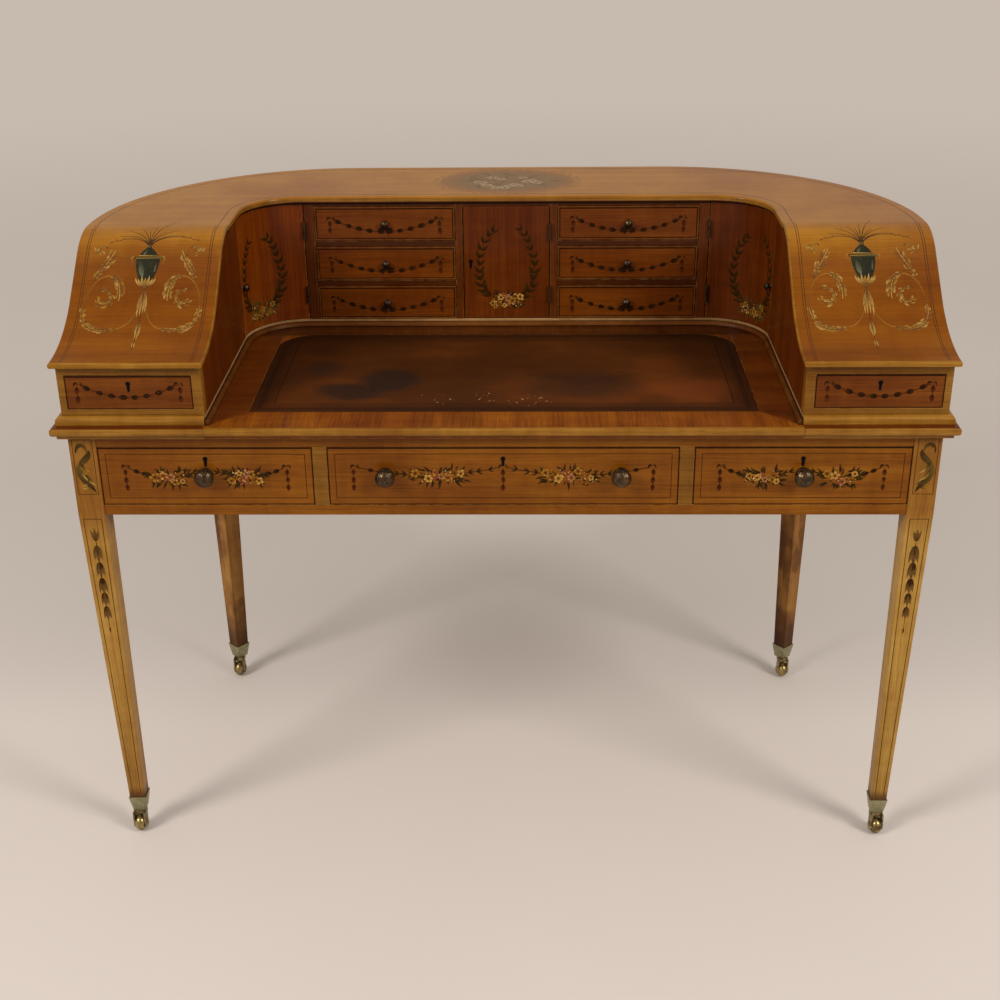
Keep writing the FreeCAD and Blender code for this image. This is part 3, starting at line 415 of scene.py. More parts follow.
def scuffs(x, y, z):
    """Wear and old polish towards the feet."""
    return joined(x, x * 40, y * 40, z * 9).noise(1.0, 3.0, 0.6) * z.fade(0.4, 0.06) * 0.6


def bead_shade(x, y, z):
    """The foot of the bay's bead and the seat behind it, which lie in shade."""
    return (from_corner(x, y, *BAY_CORNER) > BEAD_MIDDLE) | (z < BEAD_FOOT)


def side_bands(x, y, z):
    """The slide's border at the sides of the leather, mitred at the front corners."""
    beside = abs(x) - LEATHER_HALF
    ahead = LEATHER_FRONT - y
    return (beside > 0.0) * (beside - ahead > 0.0)


dress(wood("leg_satinwood", LEG_WOOD, "z", [
    (scuffs, STAINED_LEG, "z"), (passing("z", *BLOCK_BLEND), LEG_BLOCK, "z"),
    (passing("z", *GRIME_BLEND), GRIMY_LEG, "z")]), "front_legs")
dress(wood("rear_leg_satinwood", REAR_LEG, "z", [
    (stains, STAINED_LEG, "z"), (passing("z", *DARK_FOOT_BLEND), GRIMY_LEG, "z")]), "rear_legs")
dress(wood("moulding_satinwood", MOULDING, "x", polish=0.3), "plinth_moulding")
dress(wood("bead_satinwood", BEAD_WOOD, "x", [(bead_shade, BAY_SHADE, "x")], polish=0.06, wear=0.1),
      "bay_bead")
dress(wood("table_satinwood", MOULDING, "x", [(beyond("z", TABLE_SURFACE), BAY_WOOD, "x")], polish=0.3),
      "table_top")
dress(wood("upright_satinwood", SATINWOOD, "z"), "frieze_panels", "case_wall")
dress(wood("level_satinwood", SATINWOOD, "x"), "frieze_rails",
      *(f"{name}_front" for name in FRIEZE_DRAWERS))
dress(wood("bay_upright_satinwood", BAY_WOOD, "z"), "arm_walls", "centre_door")
dress(wood("lit_left_corner_satinwood", LIT_LEFT_CORNER, "z"), "left_corner_door")
dress(wood("shaded_right_corner_satinwood", SHADED_RIGHT_CORNER, "z"), "right_corner_door")
dress(wood("arm_frame_satinwood", FRAME_WOOD, "x"), "arm_fronts", "frieze_dividers")
dress(wood("lining_wood", LINING, "y", polish=0.1), "drawer_runners", "case_floor",
      *(f"{name}_box" for name in FRIEZE_DRAWERS))
dress(wood("top_satinwood", TOP_WOOD, "x", [
    (top_edge, MOULDING, "x"), (before("z", TOP_SHADE), BAY_SHADE, "x")], polish=0.4), "top_board")
# Painted light on the slopes: their darker wood lightens to the flat top's wood towards the crest.
dress(wood("shaded_slope_satinwood", SHADED_SLOPE_WOOD, "x", [
    (passing("z", *CREST_BLEND), TOP_WOOD, "x"), (slope_edge, MOULDING, "x")], polish=slope_polish),
      "arm_slopes")
# The slide's side bands and back band carry painted shade.
dress(wood("slide_satinwood", CROSS_BAND, "y", [
    (side_bands, SHADED_SIDE_BAND, "x"), (passing("y", *BACK_SHADE_BLEND), SHADED_BACK_BAND, "y"),
    (before("y", TABLE_FRONT + LIP_WIDE), MOULDING, "x")], polish=0.25), "writing_slide")
dress(wood("arm_drawer_wood", ARM_WOOD, "x", [(beyond("y", ARM_FRONT_BACK), LINING, "y")]),
      *(f"{hand}_arm_drawer" for hand in HANDS))
dress(wood("small_drawer_wood", SMALL_DRAWER, "x", [(beyond("y", SMALL_FRONT_BACK), LINING, "y")]),
      *SMALL_DRAWERS)
for name, solid, tones, grain in (("partition_wood", "case_partitions", BAY_EDGE, "z"),
                                  ("shelf_wood", "drawer_shelves", SHELF_EDGE, "x")):
    dress(wood(name, tones, grain, [(beyond("y", EDGE_STRIP_BACK), LINING, grain)]), solid)
print("boards dressed")

# %% [markdown]
# ## Leather
# The writing surface is an old brown hide, glued down flat. It is darkest where it was handled, rubbed
# red-brown in the middle, flecked where the surface has flaked, and framed by blind tooled lines. The
# lines follow the hide's outline, so they are drawn by their distance from its edge.

# %% Leather finish
LEATHER_BEND = 0.065
LEATHER_BACK = 0.082
TOOLED_LINES = (0.011, 0.015, 0.034)
LINE_HALF = 0.0009
DARK_PATCHES = {
    (-0.245, -0.195): (0.060, 0.050, 0.8),
    (-0.190, -0.145): (0.060, 0.050, 0.8),
    (-0.300, -0.085): (0.040, 0.040, 0.5),
    (0.122, -0.170): (0.105, 0.070, 0.45),
}
RED_PATCH = (0.300, -0.190)
RED_HALF = (0.10, 0.06)
FLAKED_PATCHES = ((-0.112, -0.230), (-0.028, -0.216), (0.046, -0.240))
FLAKED_HALF = (0.036, 0.026)
BORDER_WIDE = 0.048


def patch(axes, middle, half_x, half_y, ragged):
    """A soft ellipse with a ragged edge: 1 in its middle and 0 outside."""
    aside = (axes["x"] - middle[0]) / half_x
    ahead = (axes["y"] - middle[1]) / half_y
    return ((aside * aside + ahead * ahead).reckon("SQRT") + ragged).fade(1.15, 0.45)


def leather_finish():
    """Old brown hide with a tooled border."""
    material, place, shader = new_finish("worn_leather")
    axes = axes_of(place)
    rubbed = joined(place, axes["x"] * 3.5, axes["y"] * 5.5, axes["z"]).noise(1.0, 4.0, 0.55)
    ragged = (place.noise(14.0, 4.0, 0.6) - 0.5) * 1.3
    colour = rubbed.ramp(((0.3, tone(54, 26, 7)), (0.5, tone(70, 35, 9)), (0.68, tone(94, 47, 11))))
    colour = (patch(axes, RED_PATCH, *RED_HALF, ragged) * 0.6).mix(colour, tone(112, 54, 18))
    for middle, (half_x, half_y, depth) in DARK_PATCHES.items():
        worn = patch(axes, middle, half_x, half_y, ragged)
        colour = (worn * depth).mix(colour, tone(34, 25, 19))
    grain = place.node("ShaderNodeTexVoronoi", {"feature": "DISTANCE_TO_EDGE"},
                       {"Vector": place, "Scale": 620.0})
    creases = grain.fade(0.0, 0.12)
    bend = (LEATHER_HALF - LEATHER_BEND, LEATHER_BACK - LEATHER_BEND)
    from_edge = (LEATHER_BEND - from_corner(axes["x"], axes["y"], *bend)).reckon(
        "MINIMUM", axes["y"] - LEATHER_FRONT)
    first, second, third = (abs(from_edge - distance).fade(LINE_HALF * 1.4, LINE_HALF * 0.4)
                            for distance in TOOLED_LINES)
    tooled = first | second | third
    border = from_edge.fade(BORDER_WIDE, 0.010)
    colour = (border * 0.7).mix(colour, tone(44, 21, 6))
    colour = (tooled * 0.75).mix(colour, tone(24, 14, 8))
    flakes = place.noise(150.0, 2.0).fade(0.66, 0.70)
    for middle in FLAKED_PATCHES:
        flaked = flakes * patch(axes, middle, *FLAKED_HALF, ragged)
        colour = (flaked * 0.8).mix(colour, tone(190, 154, 118))
    height = creases * 0.4 - tooled * 1.5 + place.noise(40.0) * 0.5
    set_finish(shader, Base_Color=colour, Roughness=0.44 + rubbed * 0.2 - tooled * 0.1,
               Coat_Weight=0.03, Coat_Roughness=0.35, Specular_IOR_Level=0.06,
               Normal=height.bump(0.35, 0.0004))
    return material


dress(leather_finish(), "writing_leather")
print("leather dressed")

# %% [markdown]
# ## Brass
# Knobs and hinges are old brass that is polished by hands only on the proud parts and has gone brown in
# between. The caster cups are duller and a little green. Both are one finish with other colours: a
# metal whose colour and gloss drift from bright to tarnished.

# %% Brass finishes
def brass(name, bright, tarnish, gloss, cast=0.0):
    """Aged brass between a bright and a tarnished colour, with a cast relief of small bosses."""
    material, place, shader = new_finish(name)
    spots = place.noise(140.0, 4.0, 0.6) * 0.6 + place.noise(30.0, 2.0) * 0.4
    aged = spots.fade(0.38, 0.62)
    scratches = place.noise(900.0, 2.0)
    bosses = place.node("ShaderNodeTexVoronoi", None, {"Vector": place, "Scale": 260.0}) * -8.0
    bump = (scratches + spots + bosses * cast).bump(0.15 + cast, 0.0002)
    set_finish(shader, Base_Color=aged.mix(bright, tarnish), Metallic=1.0 - aged * 0.25,
               Roughness=gloss + aged * 0.2, Normal=bump)
    return material


knob_brass = brass("knob_brass", tone(98, 78, 54), tone(44, 33, 22), 0.2, cast=0.5)
dress(knob_brass, *(f"{name}_fittings" for name in FRIEZE_DRAWERS),
      *(f"{name}_knob" for name in SMALL_DRAWERS),
      *(f"{hand}_corner_door_fittings" for hand in HANDS))
dress(brass("caster_brass", tone(178, 157, 106), tone(84, 69, 42), 0.2),
      *(f"{end}_{hand}_caster_{part}" for end in ("front", "rear") for hand in HANDS
        for part in ("fork", "wheel")))
dress(brass("cup_brass", tone(172, 166, 130), tone(136, 134, 102), 0.42), "caster_cups")
dress(brass("hinge_brass", tone(98, 74, 44), tone(50, 34, 20), 0.4), "centre_door_fittings",
      "hinge_frame_leaves", *(f"{hand}_arm_drawer_lock" for hand in HANDS))
print("brass dressed")

# %% [markdown]
# ## Paint and brush strokes
# The ornament is oil paint, laid on with a pointed brush: leaves, petals, stems and fine lines are all
# strokes that swell and taper along a curve. It could be painted into a texture, but strokes made as
# thin films stay sharp from any distance. A stroke starts as a grid, which is laid along its curve in a
# flat pattern, in millimetres. A point of the pattern is a complex number, because multiplying one
# turns it. The brush's colour is kept on the vertices, and the finish reads it from there.

# %% Strokes
PAINT_LIFT = 0.06
PAINT_CROWN = 0.06
PAINT_STEP = 0.012
PAINT_LAYER = 0.14
PAINT_FILM = 0.00012
INK = tone(32, 15, 4)
DARK_STRIP = tone(40, 18, 5)
JOINT_LINE = tone(66, 32, 9)
INLAY = tone(72, 38, 10)
LEG_INLAY = tone(84, 54, 18)
RUST = tone(104, 48, 18)
BARK = tone(58, 32, 9)
MOSS = tone(72, 54, 20)
SAGE = tone(104, 90, 40)
UMBER = tone(100, 60, 14)
AMBER = tone(150, 96, 30)
GOLD = tone(182, 136, 44)
STRAW = tone(206, 166, 82)
CREAM = tone(214, 182, 124)
WINE = tone(94, 38, 22)
BRICK = tone(158, 86, 58)
BLUSH = tone(192, 136, 96)
URN_DARK = tone(34, 38, 22)
URN_LIGHT = tone(104, 110, 82)
SWELL = {
    "leaf": lambda t: math.sin(math.pi * t ** 0.75),
    "petal": lambda t: math.sin(math.pi * (0.08 + 0.80 * t)) ** 0.8,
    "stem": lambda t: 1.0 - 0.6 * t,
    "line": lambda t: 1.0,
    "oval": lambda t: math.sqrt(max(1.0 - (2 * t - 1) ** 2, 0.0)),
    "bowl": lambda t: 0.24 + 0.76 * math.sin(math.pi / 2 * t) ** 0.8,
    "lid": lambda t: 0.12 + 0.88 * max(1.0 - t, 0.0) ** 0.7,
}


def bezier(points, t):
    """A point of the smooth curve that a few control points pull."""
    while len(points) > 1:
        points = [a + (b - a) * t for a, b in zip(points, points[1:])]
    return points[0]


def mirrored(points, side):
    """Control points on one side of the middle line."""
    return [complex(side * p.real, p.imag) for p in points]


class Pattern:
    """Brush strokes laid out flat, in millimetres, before they are put on a face."""

    def __init__(self):
        self.mesh = bmesh.new()
        self.tones = self.mesh.verts.layers.float_color.new("paint")
        self.strokes = 0

    def stroke(self, path, width, base, tip=None, shape="leaf", steps=5, shade=0.22, layer=0):
        """One stroke along a path, which is a list of control points or a function of 0 to 1."""
        follow = path if callable(path) else lambda t: bezier(path, t)
        tip = tip or base
        grid = bmesh.ops.create_grid(self.mesh, x_segments=steps, y_segments=2, size=0.5)
        lift = PAINT_LIFT + PAINT_LAYER * layer + PAINT_STEP * (self.strokes % 6)
        self.strokes += 1
        for vert in grid["verts"]:
            t, side = vert.co.x + 0.5, vert.co.y * 2
            ahead = follow(min(t + 0.01, 1.0)) - follow(max(t - 0.01, 0.0))
            out = 1j * ahead / abs(ahead)
            spot = follow(t) + out * side * SWELL[shape](t) * width / 2
            vert.co = (spot.real, spot.imag, lift + PAINT_CROWN * (1 - abs(side)))
            light = 1 + shade * side
            vert[self.tones] = (*(light * (a + (b - a) * t) for a, b in zip(base[:3], tip[:3])), 1.0)

    def dot(self, at, size, colour):
        """A round dab of paint, over the other strokes."""
        self.stroke([at - size / 2, at + size / 2], size, colour, shape="oval", steps=6, layer=2)

    def frame(self, half_x, half_y, width, colour, middle=0):
        """A thin line round a rectangle."""
        corners = [middle + complex(half_x * a, half_y * b) for a, b in ((-1, -1), (1, -1), (1, 1), (-1, 1))]
        for here, there in zip(corners, corners[1:] + corners[:1]):
            over = (there - here) / abs(there - here) * width / 2
            self.stroke([here - over, there + over], width, colour, shape="line", steps=4)

    def ground(self, middle, half_x, half_y, colour, rim, soft):
        """An oval of one colour that fades into another over a soft border."""
        known = set(self.mesh.verts)
        bmesh.ops.create_circle(self.mesh, cap_ends=True, segments=64, radius=1.0)
        for ring in range(4):
            middle_face = max(self.mesh.faces, key=lambda f: len(f.verts))
            bmesh.ops.inset_region(self.mesh, faces=[middle_face], thickness=soft / 4, use_boundary=True)
        for vert in set(self.mesh.verts) - known:
            share = min((1.0 - vert.co.xy.length) / soft, 1.0)
            vert[self.tones] = [a + (b - a) * share for a, b in zip(rim, colour)]
            spot = middle + complex(vert.co.x * half_x, vert.co.y * half_y)
            vert.co = (spot.real, spot.imag, PAINT_LIFT / 2)


def paint_finish(name, polish):
    """Oil paint under varnish, coloured by the strokes' own vertices."""
    material, place, shader = new_finish(name)
    colour = place.node("ShaderNodeAttribute", {"attribute_name": "paint"}, out="Color")
    bristles = place.noise(900.0, 3.0, 0.6)
    thin = place.noise(220.0, 3.0)
    colour = bristles.fade(0.75, 0.3).mix(colour, tone(196, 186, 172), "MULTIPLY")
    colour = (thin.fade(0.54, 0.72) * 0.18).mix(colour, SATINWOOD[1])
    set_finish(shader, Base_Color=colour, Roughness=0.42 + thin * 0.2, Coat_Weight=polish,
               Coat_Roughness=0.16, Specular_IOR_Level=polish * 0.6,
               Normal=bristles.bump(0.2, 0.0002))
    return material


oil_paint = paint_finish("oil_paint", 0.05)
polished_paint = paint_finish("polished_paint", 0.2)


def add_mesh(name, made, material):
    """Turns a finished bmesh into an object."""
    mesh = bpy.data.meshes.new(name)
    made.to_mesh(mesh)
    made.free()
    mesh.materials.append(material)
    return add_object(name, mesh)


def add_piece(name, made, material, body):
    """A finished bmesh as a piece that rides on a body."""
    piece = add_mesh(name, made, material)
    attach(piece, body)
    return piece


def lay(pattern, name, body, face, paint=oil_paint):
    """Puts a pattern on a face of the desk, as a thin film of paint."""
    for vert in pattern.mesh.verts:
        vert.co = face(*vert.co)
    bmesh.ops.remove_doubles(pattern.mesh, verts=pattern.mesh.verts[:], dist=1e-6)
    piece = add_piece(name, pattern.mesh, paint, body)
    film = piece.modifiers.new("film", "SOLIDIFY")
    film.thickness = PAINT_FILM
    film.offset = -1.0
    print(name, pattern.strokes, "strokes")
    return piece


# %% [markdown]
# ## Faces to paint on
# Each face turns a point of a flat pattern into a place on the desk: u to the right, v up, w off the
# surface. Fronts and doors are planes. A slope or a corner door is curved, so the point is first put on
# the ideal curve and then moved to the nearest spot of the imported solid, whose facets differ from the
# curve by a hair, so that the paint never sinks under a facet.

# %% Faces
OGEE_RADIUS = 230.0
OGEE_ANGLE = math.radians(40)
OGEE_START = (-338.0, 866.0)
OGEE_END = (-55.0, 1000.0)
ARM_MIDDLE = 562.5
DOOR_RADIUS = 0.100
LEG_PLACE = (644, -312)
LEG_BLOCK_END = 613
LEG_END = 62
LEG_LEAN = 8
LEG_HALF = 21
LEG_NARROWING = 7.75


def front_of(node):
    """The front of a node as a face about its middle, with its width and height."""
    low, high = (Vector(corner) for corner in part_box(node))
    middle = (low + high) / 2

    def face(u, v, w):
        return Vector((middle.x + u * MM, low.y - w * MM, middle.z + v * MM))

    return face, (high.x - low.x) / MM, (high.z - low.z) / MM


def nearest_on(node):
    """A search for the nearest spot on a node's surface."""
    mesh = nodes[node].data
    return BVHTree.FromPolygons([v.co for v in mesh.vertices], [p.vertices for p in mesh.polygons])


def ogee_parts():
    """The slope's hollow, straight, crest and flat: how long each is and how it bends per millimetre."""
    across, up = math.cos(OGEE_ANGLE), math.sin(OGEE_ANGLE)
    run = OGEE_END[0] - OGEE_START[0] - OGEE_RADIUS * up
    rise = OGEE_END[1] - OGEE_START[1] - OGEE_RADIUS * (1 - across)
    crest = (run * up - rise * across) / (1 - across)
    straight = (run - crest * up) / across
    return ((OGEE_RADIUS * OGEE_ANGLE, 1 / OGEE_RADIUS), (straight, 0.0),
            (crest * OGEE_ANGLE, -1 / crest), (math.inf, 0.0))


OGEE_PARTS = ogee_parts()


def ogee(s):
    """The slope's profile, s millimetres along it from the lip: y, z and the pitch there."""
    spot, pitch = complex(*OGEE_START), 0.0
    for length, bend in OGEE_PARTS:
        part = min(s, length)
        if bend:
            spot += (cmath.rect(1, pitch + part * bend) - cmath.rect(1, pitch)) / (1j * bend)
        else:
            spot += cmath.rect(part, pitch)
        pitch += part * bend
        s -= part
    return spot.real, spot.imag, pitch


slope_spots = nearest_on("arm_slopes")
top_spots = nearest_on("top_board")


def slope_face(side):
    """An arm's slope: u from the middle of the arm, v along the slope from its lip."""
    def face(u, v, w):
        y, z, pitch = ogee(v)
        ideal = Vector((side * ARM_MIDDLE + u, y, z)) * MM
        spots = slope_spots if y < OGEE_END[0] else top_spots
        return spots.find_nearest(ideal)[0] + Vector((0, -math.sin(pitch), math.cos(pitch))) * w * MM
    return face


def corner_face(side, node):
    """A corner door's hollow face: u along the curve from its middle to the right, v up."""
    spots = nearest_on(node)
    low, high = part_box(node)
    middle_z = (low[2] + high[2]) / 2

    def face(u, v, w):
        angle = math.pi / 4 - side * u * MM / DOOR_RADIUS
        outward = Vector((side * math.cos(angle), math.sin(angle), 0))
        centre = Vector((side * BAY_CORNER[0], BAY_CORNER[1], middle_z + v * MM))
        return spots.find_nearest(centre + outward * DOOR_RADIUS)[0] - outward * w * MM
    return face


def leg_shape(z):
    """A front leg's inward lean and half width at a height."""
    share = max((LEG_BLOCK_END - z) / (LEG_BLOCK_END - LEG_END), 0.0)
    return LEG_LEAN * share, LEG_HALF - LEG_NARROWING * share


def leg_face(side):
    """The front of a front leg: u from the leg's middle, v is the height."""
    def face(u, v, w):
        lean, half = leg_shape(v)
        return Vector((side * (LEG_PLACE[0] - lean) + u, LEG_PLACE[1] - half - w, v)) * MM
    return face


def top_face(u, v, w):
    """The flat top: u is x, v is y."""
    return Vector((u, v, OGEE_END[1] + w)) * MM


print("faces ready")

# %% [markdown]
# ## Husks, swags and bows
# A husk is a small bellflower of three narrow leaves. Husks hang on a thread in a swag between two bows,
# with dots between them, and a short drop hangs from each bow. On the real desk every one was painted by
# hand, so sizes and turns differ a little here, with a seeded random generator to keep each run alike.

# %% Husk ornament
STRING_WIDE = 1.1
drawn_by_hand = random.Random(1790)


def about(size, share=0.12):
    """A size as a hand would draw it, a little off."""
    return size * (1 + drawn_by_hand.uniform(-share, share))


def husk(pattern, at, turn, size, base=INK, tip=BARK, belly=0.3, mouth=0.14):
    """A bellflower that starts at a point, swells to its belly and ends in three points at its mouth."""
    ahead = cmath.rect(about(size), turn)
    for way in (-1, 1):
        pattern.stroke([at, at + ahead * complex(0.4, belly * way), at + ahead * complex(0.95, mouth * way)],
                       size * 0.26, base, tip, steps=4)
    pattern.stroke([at, at + ahead * 1.08], size * 0.32, base, tip, steps=4)


def bow(pattern, at, size):
    """Two ribbon loops with a pale catch of light."""
    for side in (-1, 1):
        loop = [at, at + size * complex(0.9 * side, 1.0), at + size * complex(1.1 * side, -0.8)]
        pattern.stroke(loop, size * 0.6, INK, BARK, steps=4)
    pattern.stroke([at + size * complex(0.2, 0.3), at + size * complex(0.9, 0.3)], size * 0.3, AMBER, MOSS,
                   steps=3, layer=1)


def drop(pattern, at, count, size, reach):
    """Husks hanging one below another."""
    pattern.stroke([at, at - 1j * reach], 0.8, INK, shape="line", steps=2)
    for number in range(count):
        place = at - 1j * reach * (number + 0.15) / count
        husk(pattern, place, -math.pi / 2 + drawn_by_hand.uniform(-0.1, 0.1), size, INK, RUST)


def leaf(pattern, at, turn, size, base=INK, tip=MOSS, slim=0.3, layer=0):
    """A pointed leaf with a bend in it."""
    ahead = cmath.rect(about(size), turn)
    bend = drawn_by_hand.uniform(-0.25, 0.25)
    pattern.stroke([at, at + ahead * complex(0.5, bend), at + ahead], size * slim, base, tip,
                   steps=4, layer=layer)


def sagging(start, end, sag):
    """A thread that hangs between two points."""
    return lambda t: start + (end - start) * t - 1j * sag * 4 * t * (1 - t)


def husk_swag(half, sag, top, reach, count, size):
    """The husk swag of the small drawers: a thread of husks and dots, a bow and a drop at each end."""
    pattern = Pattern()
    thread = sagging(complex(-half, top), complex(half, top), sag)
    pattern.stroke(thread, STRING_WIDE, INK, BARK, shape="line", steps=16)
    for number in range(count):
        t = (number + 0.5) / count
        lean = cmath.phase(thread(t + 0.02) - thread(t - 0.02))
        outward = lean if t > 0.5 else lean + math.pi
        husk(pattern, thread(t) - cmath.rect(size / 2, outward), outward, size)
        pattern.dot(thread((number + 1) / count), size * 0.24, RUST)
    for side in (-1, 1):
        end = complex(side * (half + 3), top + 1)
        bow(pattern, end, size * 0.5)
        drop(pattern, end + complex(side * 2, -2), 2, size * 0.95, reach)
    return pattern


def joint_and_rail_shadow(pattern, width, height):
    """The dark joint round a drawer front, and a wide strip along its top: painted shadow of the rail."""
    pattern.frame(width / 2 - 0.6, height / 2 - 0.6, 1.2, JOINT_LINE)
    # Painted shadow of the rail along the top of the drawer front.
    pattern.stroke([complex(-width / 2, height / 2 - 1.2), complex(width / 2, height / 2 - 1.2)], 2.4, DARK_STRIP,
                   shape="line")


for name in SMALL_DRAWERS:
    face, width, height = front_of(name)
    pattern = husk_swag(half=91, sag=22, top=8, reach=24, count=10, size=13)
    for turn in (190, 215, 240, 300, 325, 350):
        leaf(pattern, -8j, math.radians(turn), 14, INK, BARK)
    pattern.frame(width / 2 - 3.8, height / 2 - 3.8, 1.6, DARK_STRIP)
    lay(pattern, f"{name}_swag", name, face)
for hand in HANDS:
    name = f"{hand}_arm_drawer"
    face, width, height = front_of(name)
    pattern = husk_swag(half=73, sag=20, top=12, reach=28, count=8, size=13)
    joint_and_rail_shadow(pattern, width, height)
    lay(pattern, f"{name}_swag", name, face)

# %% [markdown]
# ## Flowers
# The frieze drawers' swags swell into bunches of flowers among dark leaves. A flower is a ring of
# petals with a darker heart. A bunch is spiky leaves that point outward, then flowers in front of them.

# %% Flower bunches
BUNCH_AT = 0.57
STRING_INSET = 11
CENTRE_SWAG = (226 + 15j, 5 + 15j)
SIDE_SWAG = (122 + 15j, 12 + 10j)
FLOWER_TONES = (
    (RUST, GOLD, WINE),
    (UMBER, AMBER, RUST),
    (AMBER, STRAW, WINE),
    (WINE, BRICK, GOLD),
    (UMBER, BLUSH, RUST),
)
# Darker, duller flowers for the corner doors: painted shade in the corners of the bay.
SHADED_FLOWER_TONES = (
    (UMBER, AMBER, RUST),
    (MOSS, GOLD, UMBER),
    (BARK, SAGE, UMBER),
)


def flower(pattern, at, size, base, tip, heart):
    """Five or six broad petals about a heart."""
    count = drawn_by_hand.choice((5, 6))
    start = drawn_by_hand.uniform(0, math.tau)
    for number in range(count):
        ahead = cmath.rect(about(size / 2, 0.2), start + math.tau * number / count)
        pattern.stroke([at + ahead * 0.15, at + ahead], size * 0.42, base, tip, "petal", steps=3, layer=1)
    pattern.dot(at, size * 0.3, heart)


def bunch(pattern, middle, half, deep, blooms, size, leaf_tip=MOSS, tones=FLOWER_TONES):
    """Flowers in a nest of spiky leaves, within half a width and half a depth of a middle."""
    def somewhere(spread=1.0):
        aside = drawn_by_hand.uniform(-half, half)
        return middle + complex(aside, drawn_by_hand.uniform(-deep, deep)) * spread

    for number in range(blooms * 6):
        place = somewhere()
        outward = cmath.phase(complex((place - middle).real * 0.5, (place - middle).imag + 0.01))
        outward += drawn_by_hand.uniform(-0.8, 0.8)
        leaf(pattern, place, outward, about(size, 0.3), INK, leaf_tip, 0.26)
    for number in range(blooms):
        share = (number + 0.5) / blooms * 2 - 1
        place = middle + complex(share * half, drawn_by_hand.uniform(-deep, deep) * 0.75)
        flower(pattern, place, about(size, 0.25), *tones[number % len(tones)])
    for number in range(blooms * 3):
        pattern.dot(somewhere(1.1), about(1.9, 0.3), drawn_by_hand.choice((CREAM, GOLD, BLUSH, AMBER)))


def flowered_swag(pattern, start, end, sag, size):
    """A swag that swells into a bunch of flowers, with leaves and husks towards its ends."""
    thread = sagging(start, end, sag)
    half = min(abs(end - start) * 0.22, 40)
    pattern.stroke(thread, STRING_WIDE, INK, BARK, shape="line", steps=16)
    for t in (0.08, 0.19):
        husk(pattern, thread(t), cmath.phase(thread(t + 0.05) - thread(t)), size)
    for t, ahead in ((0.30, 0.05), (0.35, 0.05), (0.40, 0.05), (0.78, -0.05), (0.84, -0.05), (0.92, -0.05)):
        away = cmath.phase(thread(t) - thread(t + ahead))
        for way in (-0.6, 0.0, 0.6):
            leaf(pattern, thread(t), away + way, size, INK, MOSS, 0.26)
    bunch(pattern, thread(BUNCH_AT) - 1j, half, 10, 8, size * 1.1)


for name in FRIEZE_DRAWERS:
    face, width, height = front_of(f"{name}_front")
    pattern = Pattern()
    pattern.frame(width / 2 - STRING_INSET, height / 2 - STRING_INSET, STRING_WIDE, INLAY)
    joint_and_rail_shadow(pattern, width, height)
    centre = name.startswith("centre")
    for side in (-1, 1):
        flowered_swag(pattern, *mirrored(CENTRE_SWAG if centre else SIDE_SWAG, side), sag=14, size=11)
    for end in ((-228, 0, 228) if centre else (-124, 124)):
        bow(pattern, complex(end, 16), 6)
        drop(pattern, complex(end * 1.01, 13), 3, 11, 38)
    lay(pattern, f"{name}_swag", name, face)

# %% [markdown]
# ## Wreaths on the doors
# Each door has two laurel branches that rise from a bunch of flowers and stay open at the top. The
# branches are smooth curves with pairs of leaves that shrink towards the tip, and a few red berries.

# %% Wreaths
LAUREL = (tone(44, 24, 5), tone(72, 45, 11))
WREATH_LEAVES = 11


def wreath(half, top, bottom, leaf_tip, tones, aside=0):
    """Two laurel branches over a bunch of flowers, about a line aside of the middle."""
    pattern = Pattern()
    bends = (complex(8, bottom + 12), complex(half * 1.35, bottom + 10), complex(half * 1.25, top * 0.45),
             complex(half * 0.52, top))
    for side in (-1, 1):
        branch = [aside + bend for bend in mirrored(bends, side)]
        pattern.stroke(branch, 1.2, *LAUREL, "stem", steps=16)
        for number in range(WREATH_LEAVES):
            t = 0.14 + 0.84 * number / (WREATH_LEAVES - 1)
            here, ahead = bezier(branch, t), bezier(branch, t + 0.02) - bezier(branch, t)
            for way in (-0.6, 0.55):
                turn = cmath.phase(ahead) + way + drawn_by_hand.uniform(-0.15, 0.15)
                leaf(pattern, here, turn, 20 - 6 * t, *LAUREL, 0.38)
            if number % 3 == 0:
                pattern.dot(here + 5j * ahead / abs(ahead) * side, 2.2, WINE)
    bunch(pattern, complex(aside, bottom + 9), 27, 11, 8, 12, leaf_tip, tones)
    bunch(pattern, complex(aside, bottom + 1), 24, 5, 6, 7, leaf_tip, tones)
    return pattern


pattern = wreath(half=46, top=60, bottom=-76, leaf_tip=MOSS, tones=FLOWER_TONES)
lay(pattern, "centre_door_wreath", "centre_door", front_of("centre_door")[0])
for hand, side in HANDS.items():
    name = f"{hand}_corner_door"
    pattern = wreath(half=42, top=50, bottom=-84, leaf_tip=SAGE, tones=SHADED_FLOWER_TONES, aside=side * 13)
    lay(pattern, f"{name}_wreath", name, corner_face(side, name))

# %% [markdown]
# ## Urns and scrolls on the slopes
# A dark urn with a gilt rim and a leaf cup stands in the middle of each slope. Fine grasses rise from
# its lid, slim leaves hang below it, and on each side a scroll of leaves winds into a spiral. The left
# and the right half are the same strokes, mirrored.

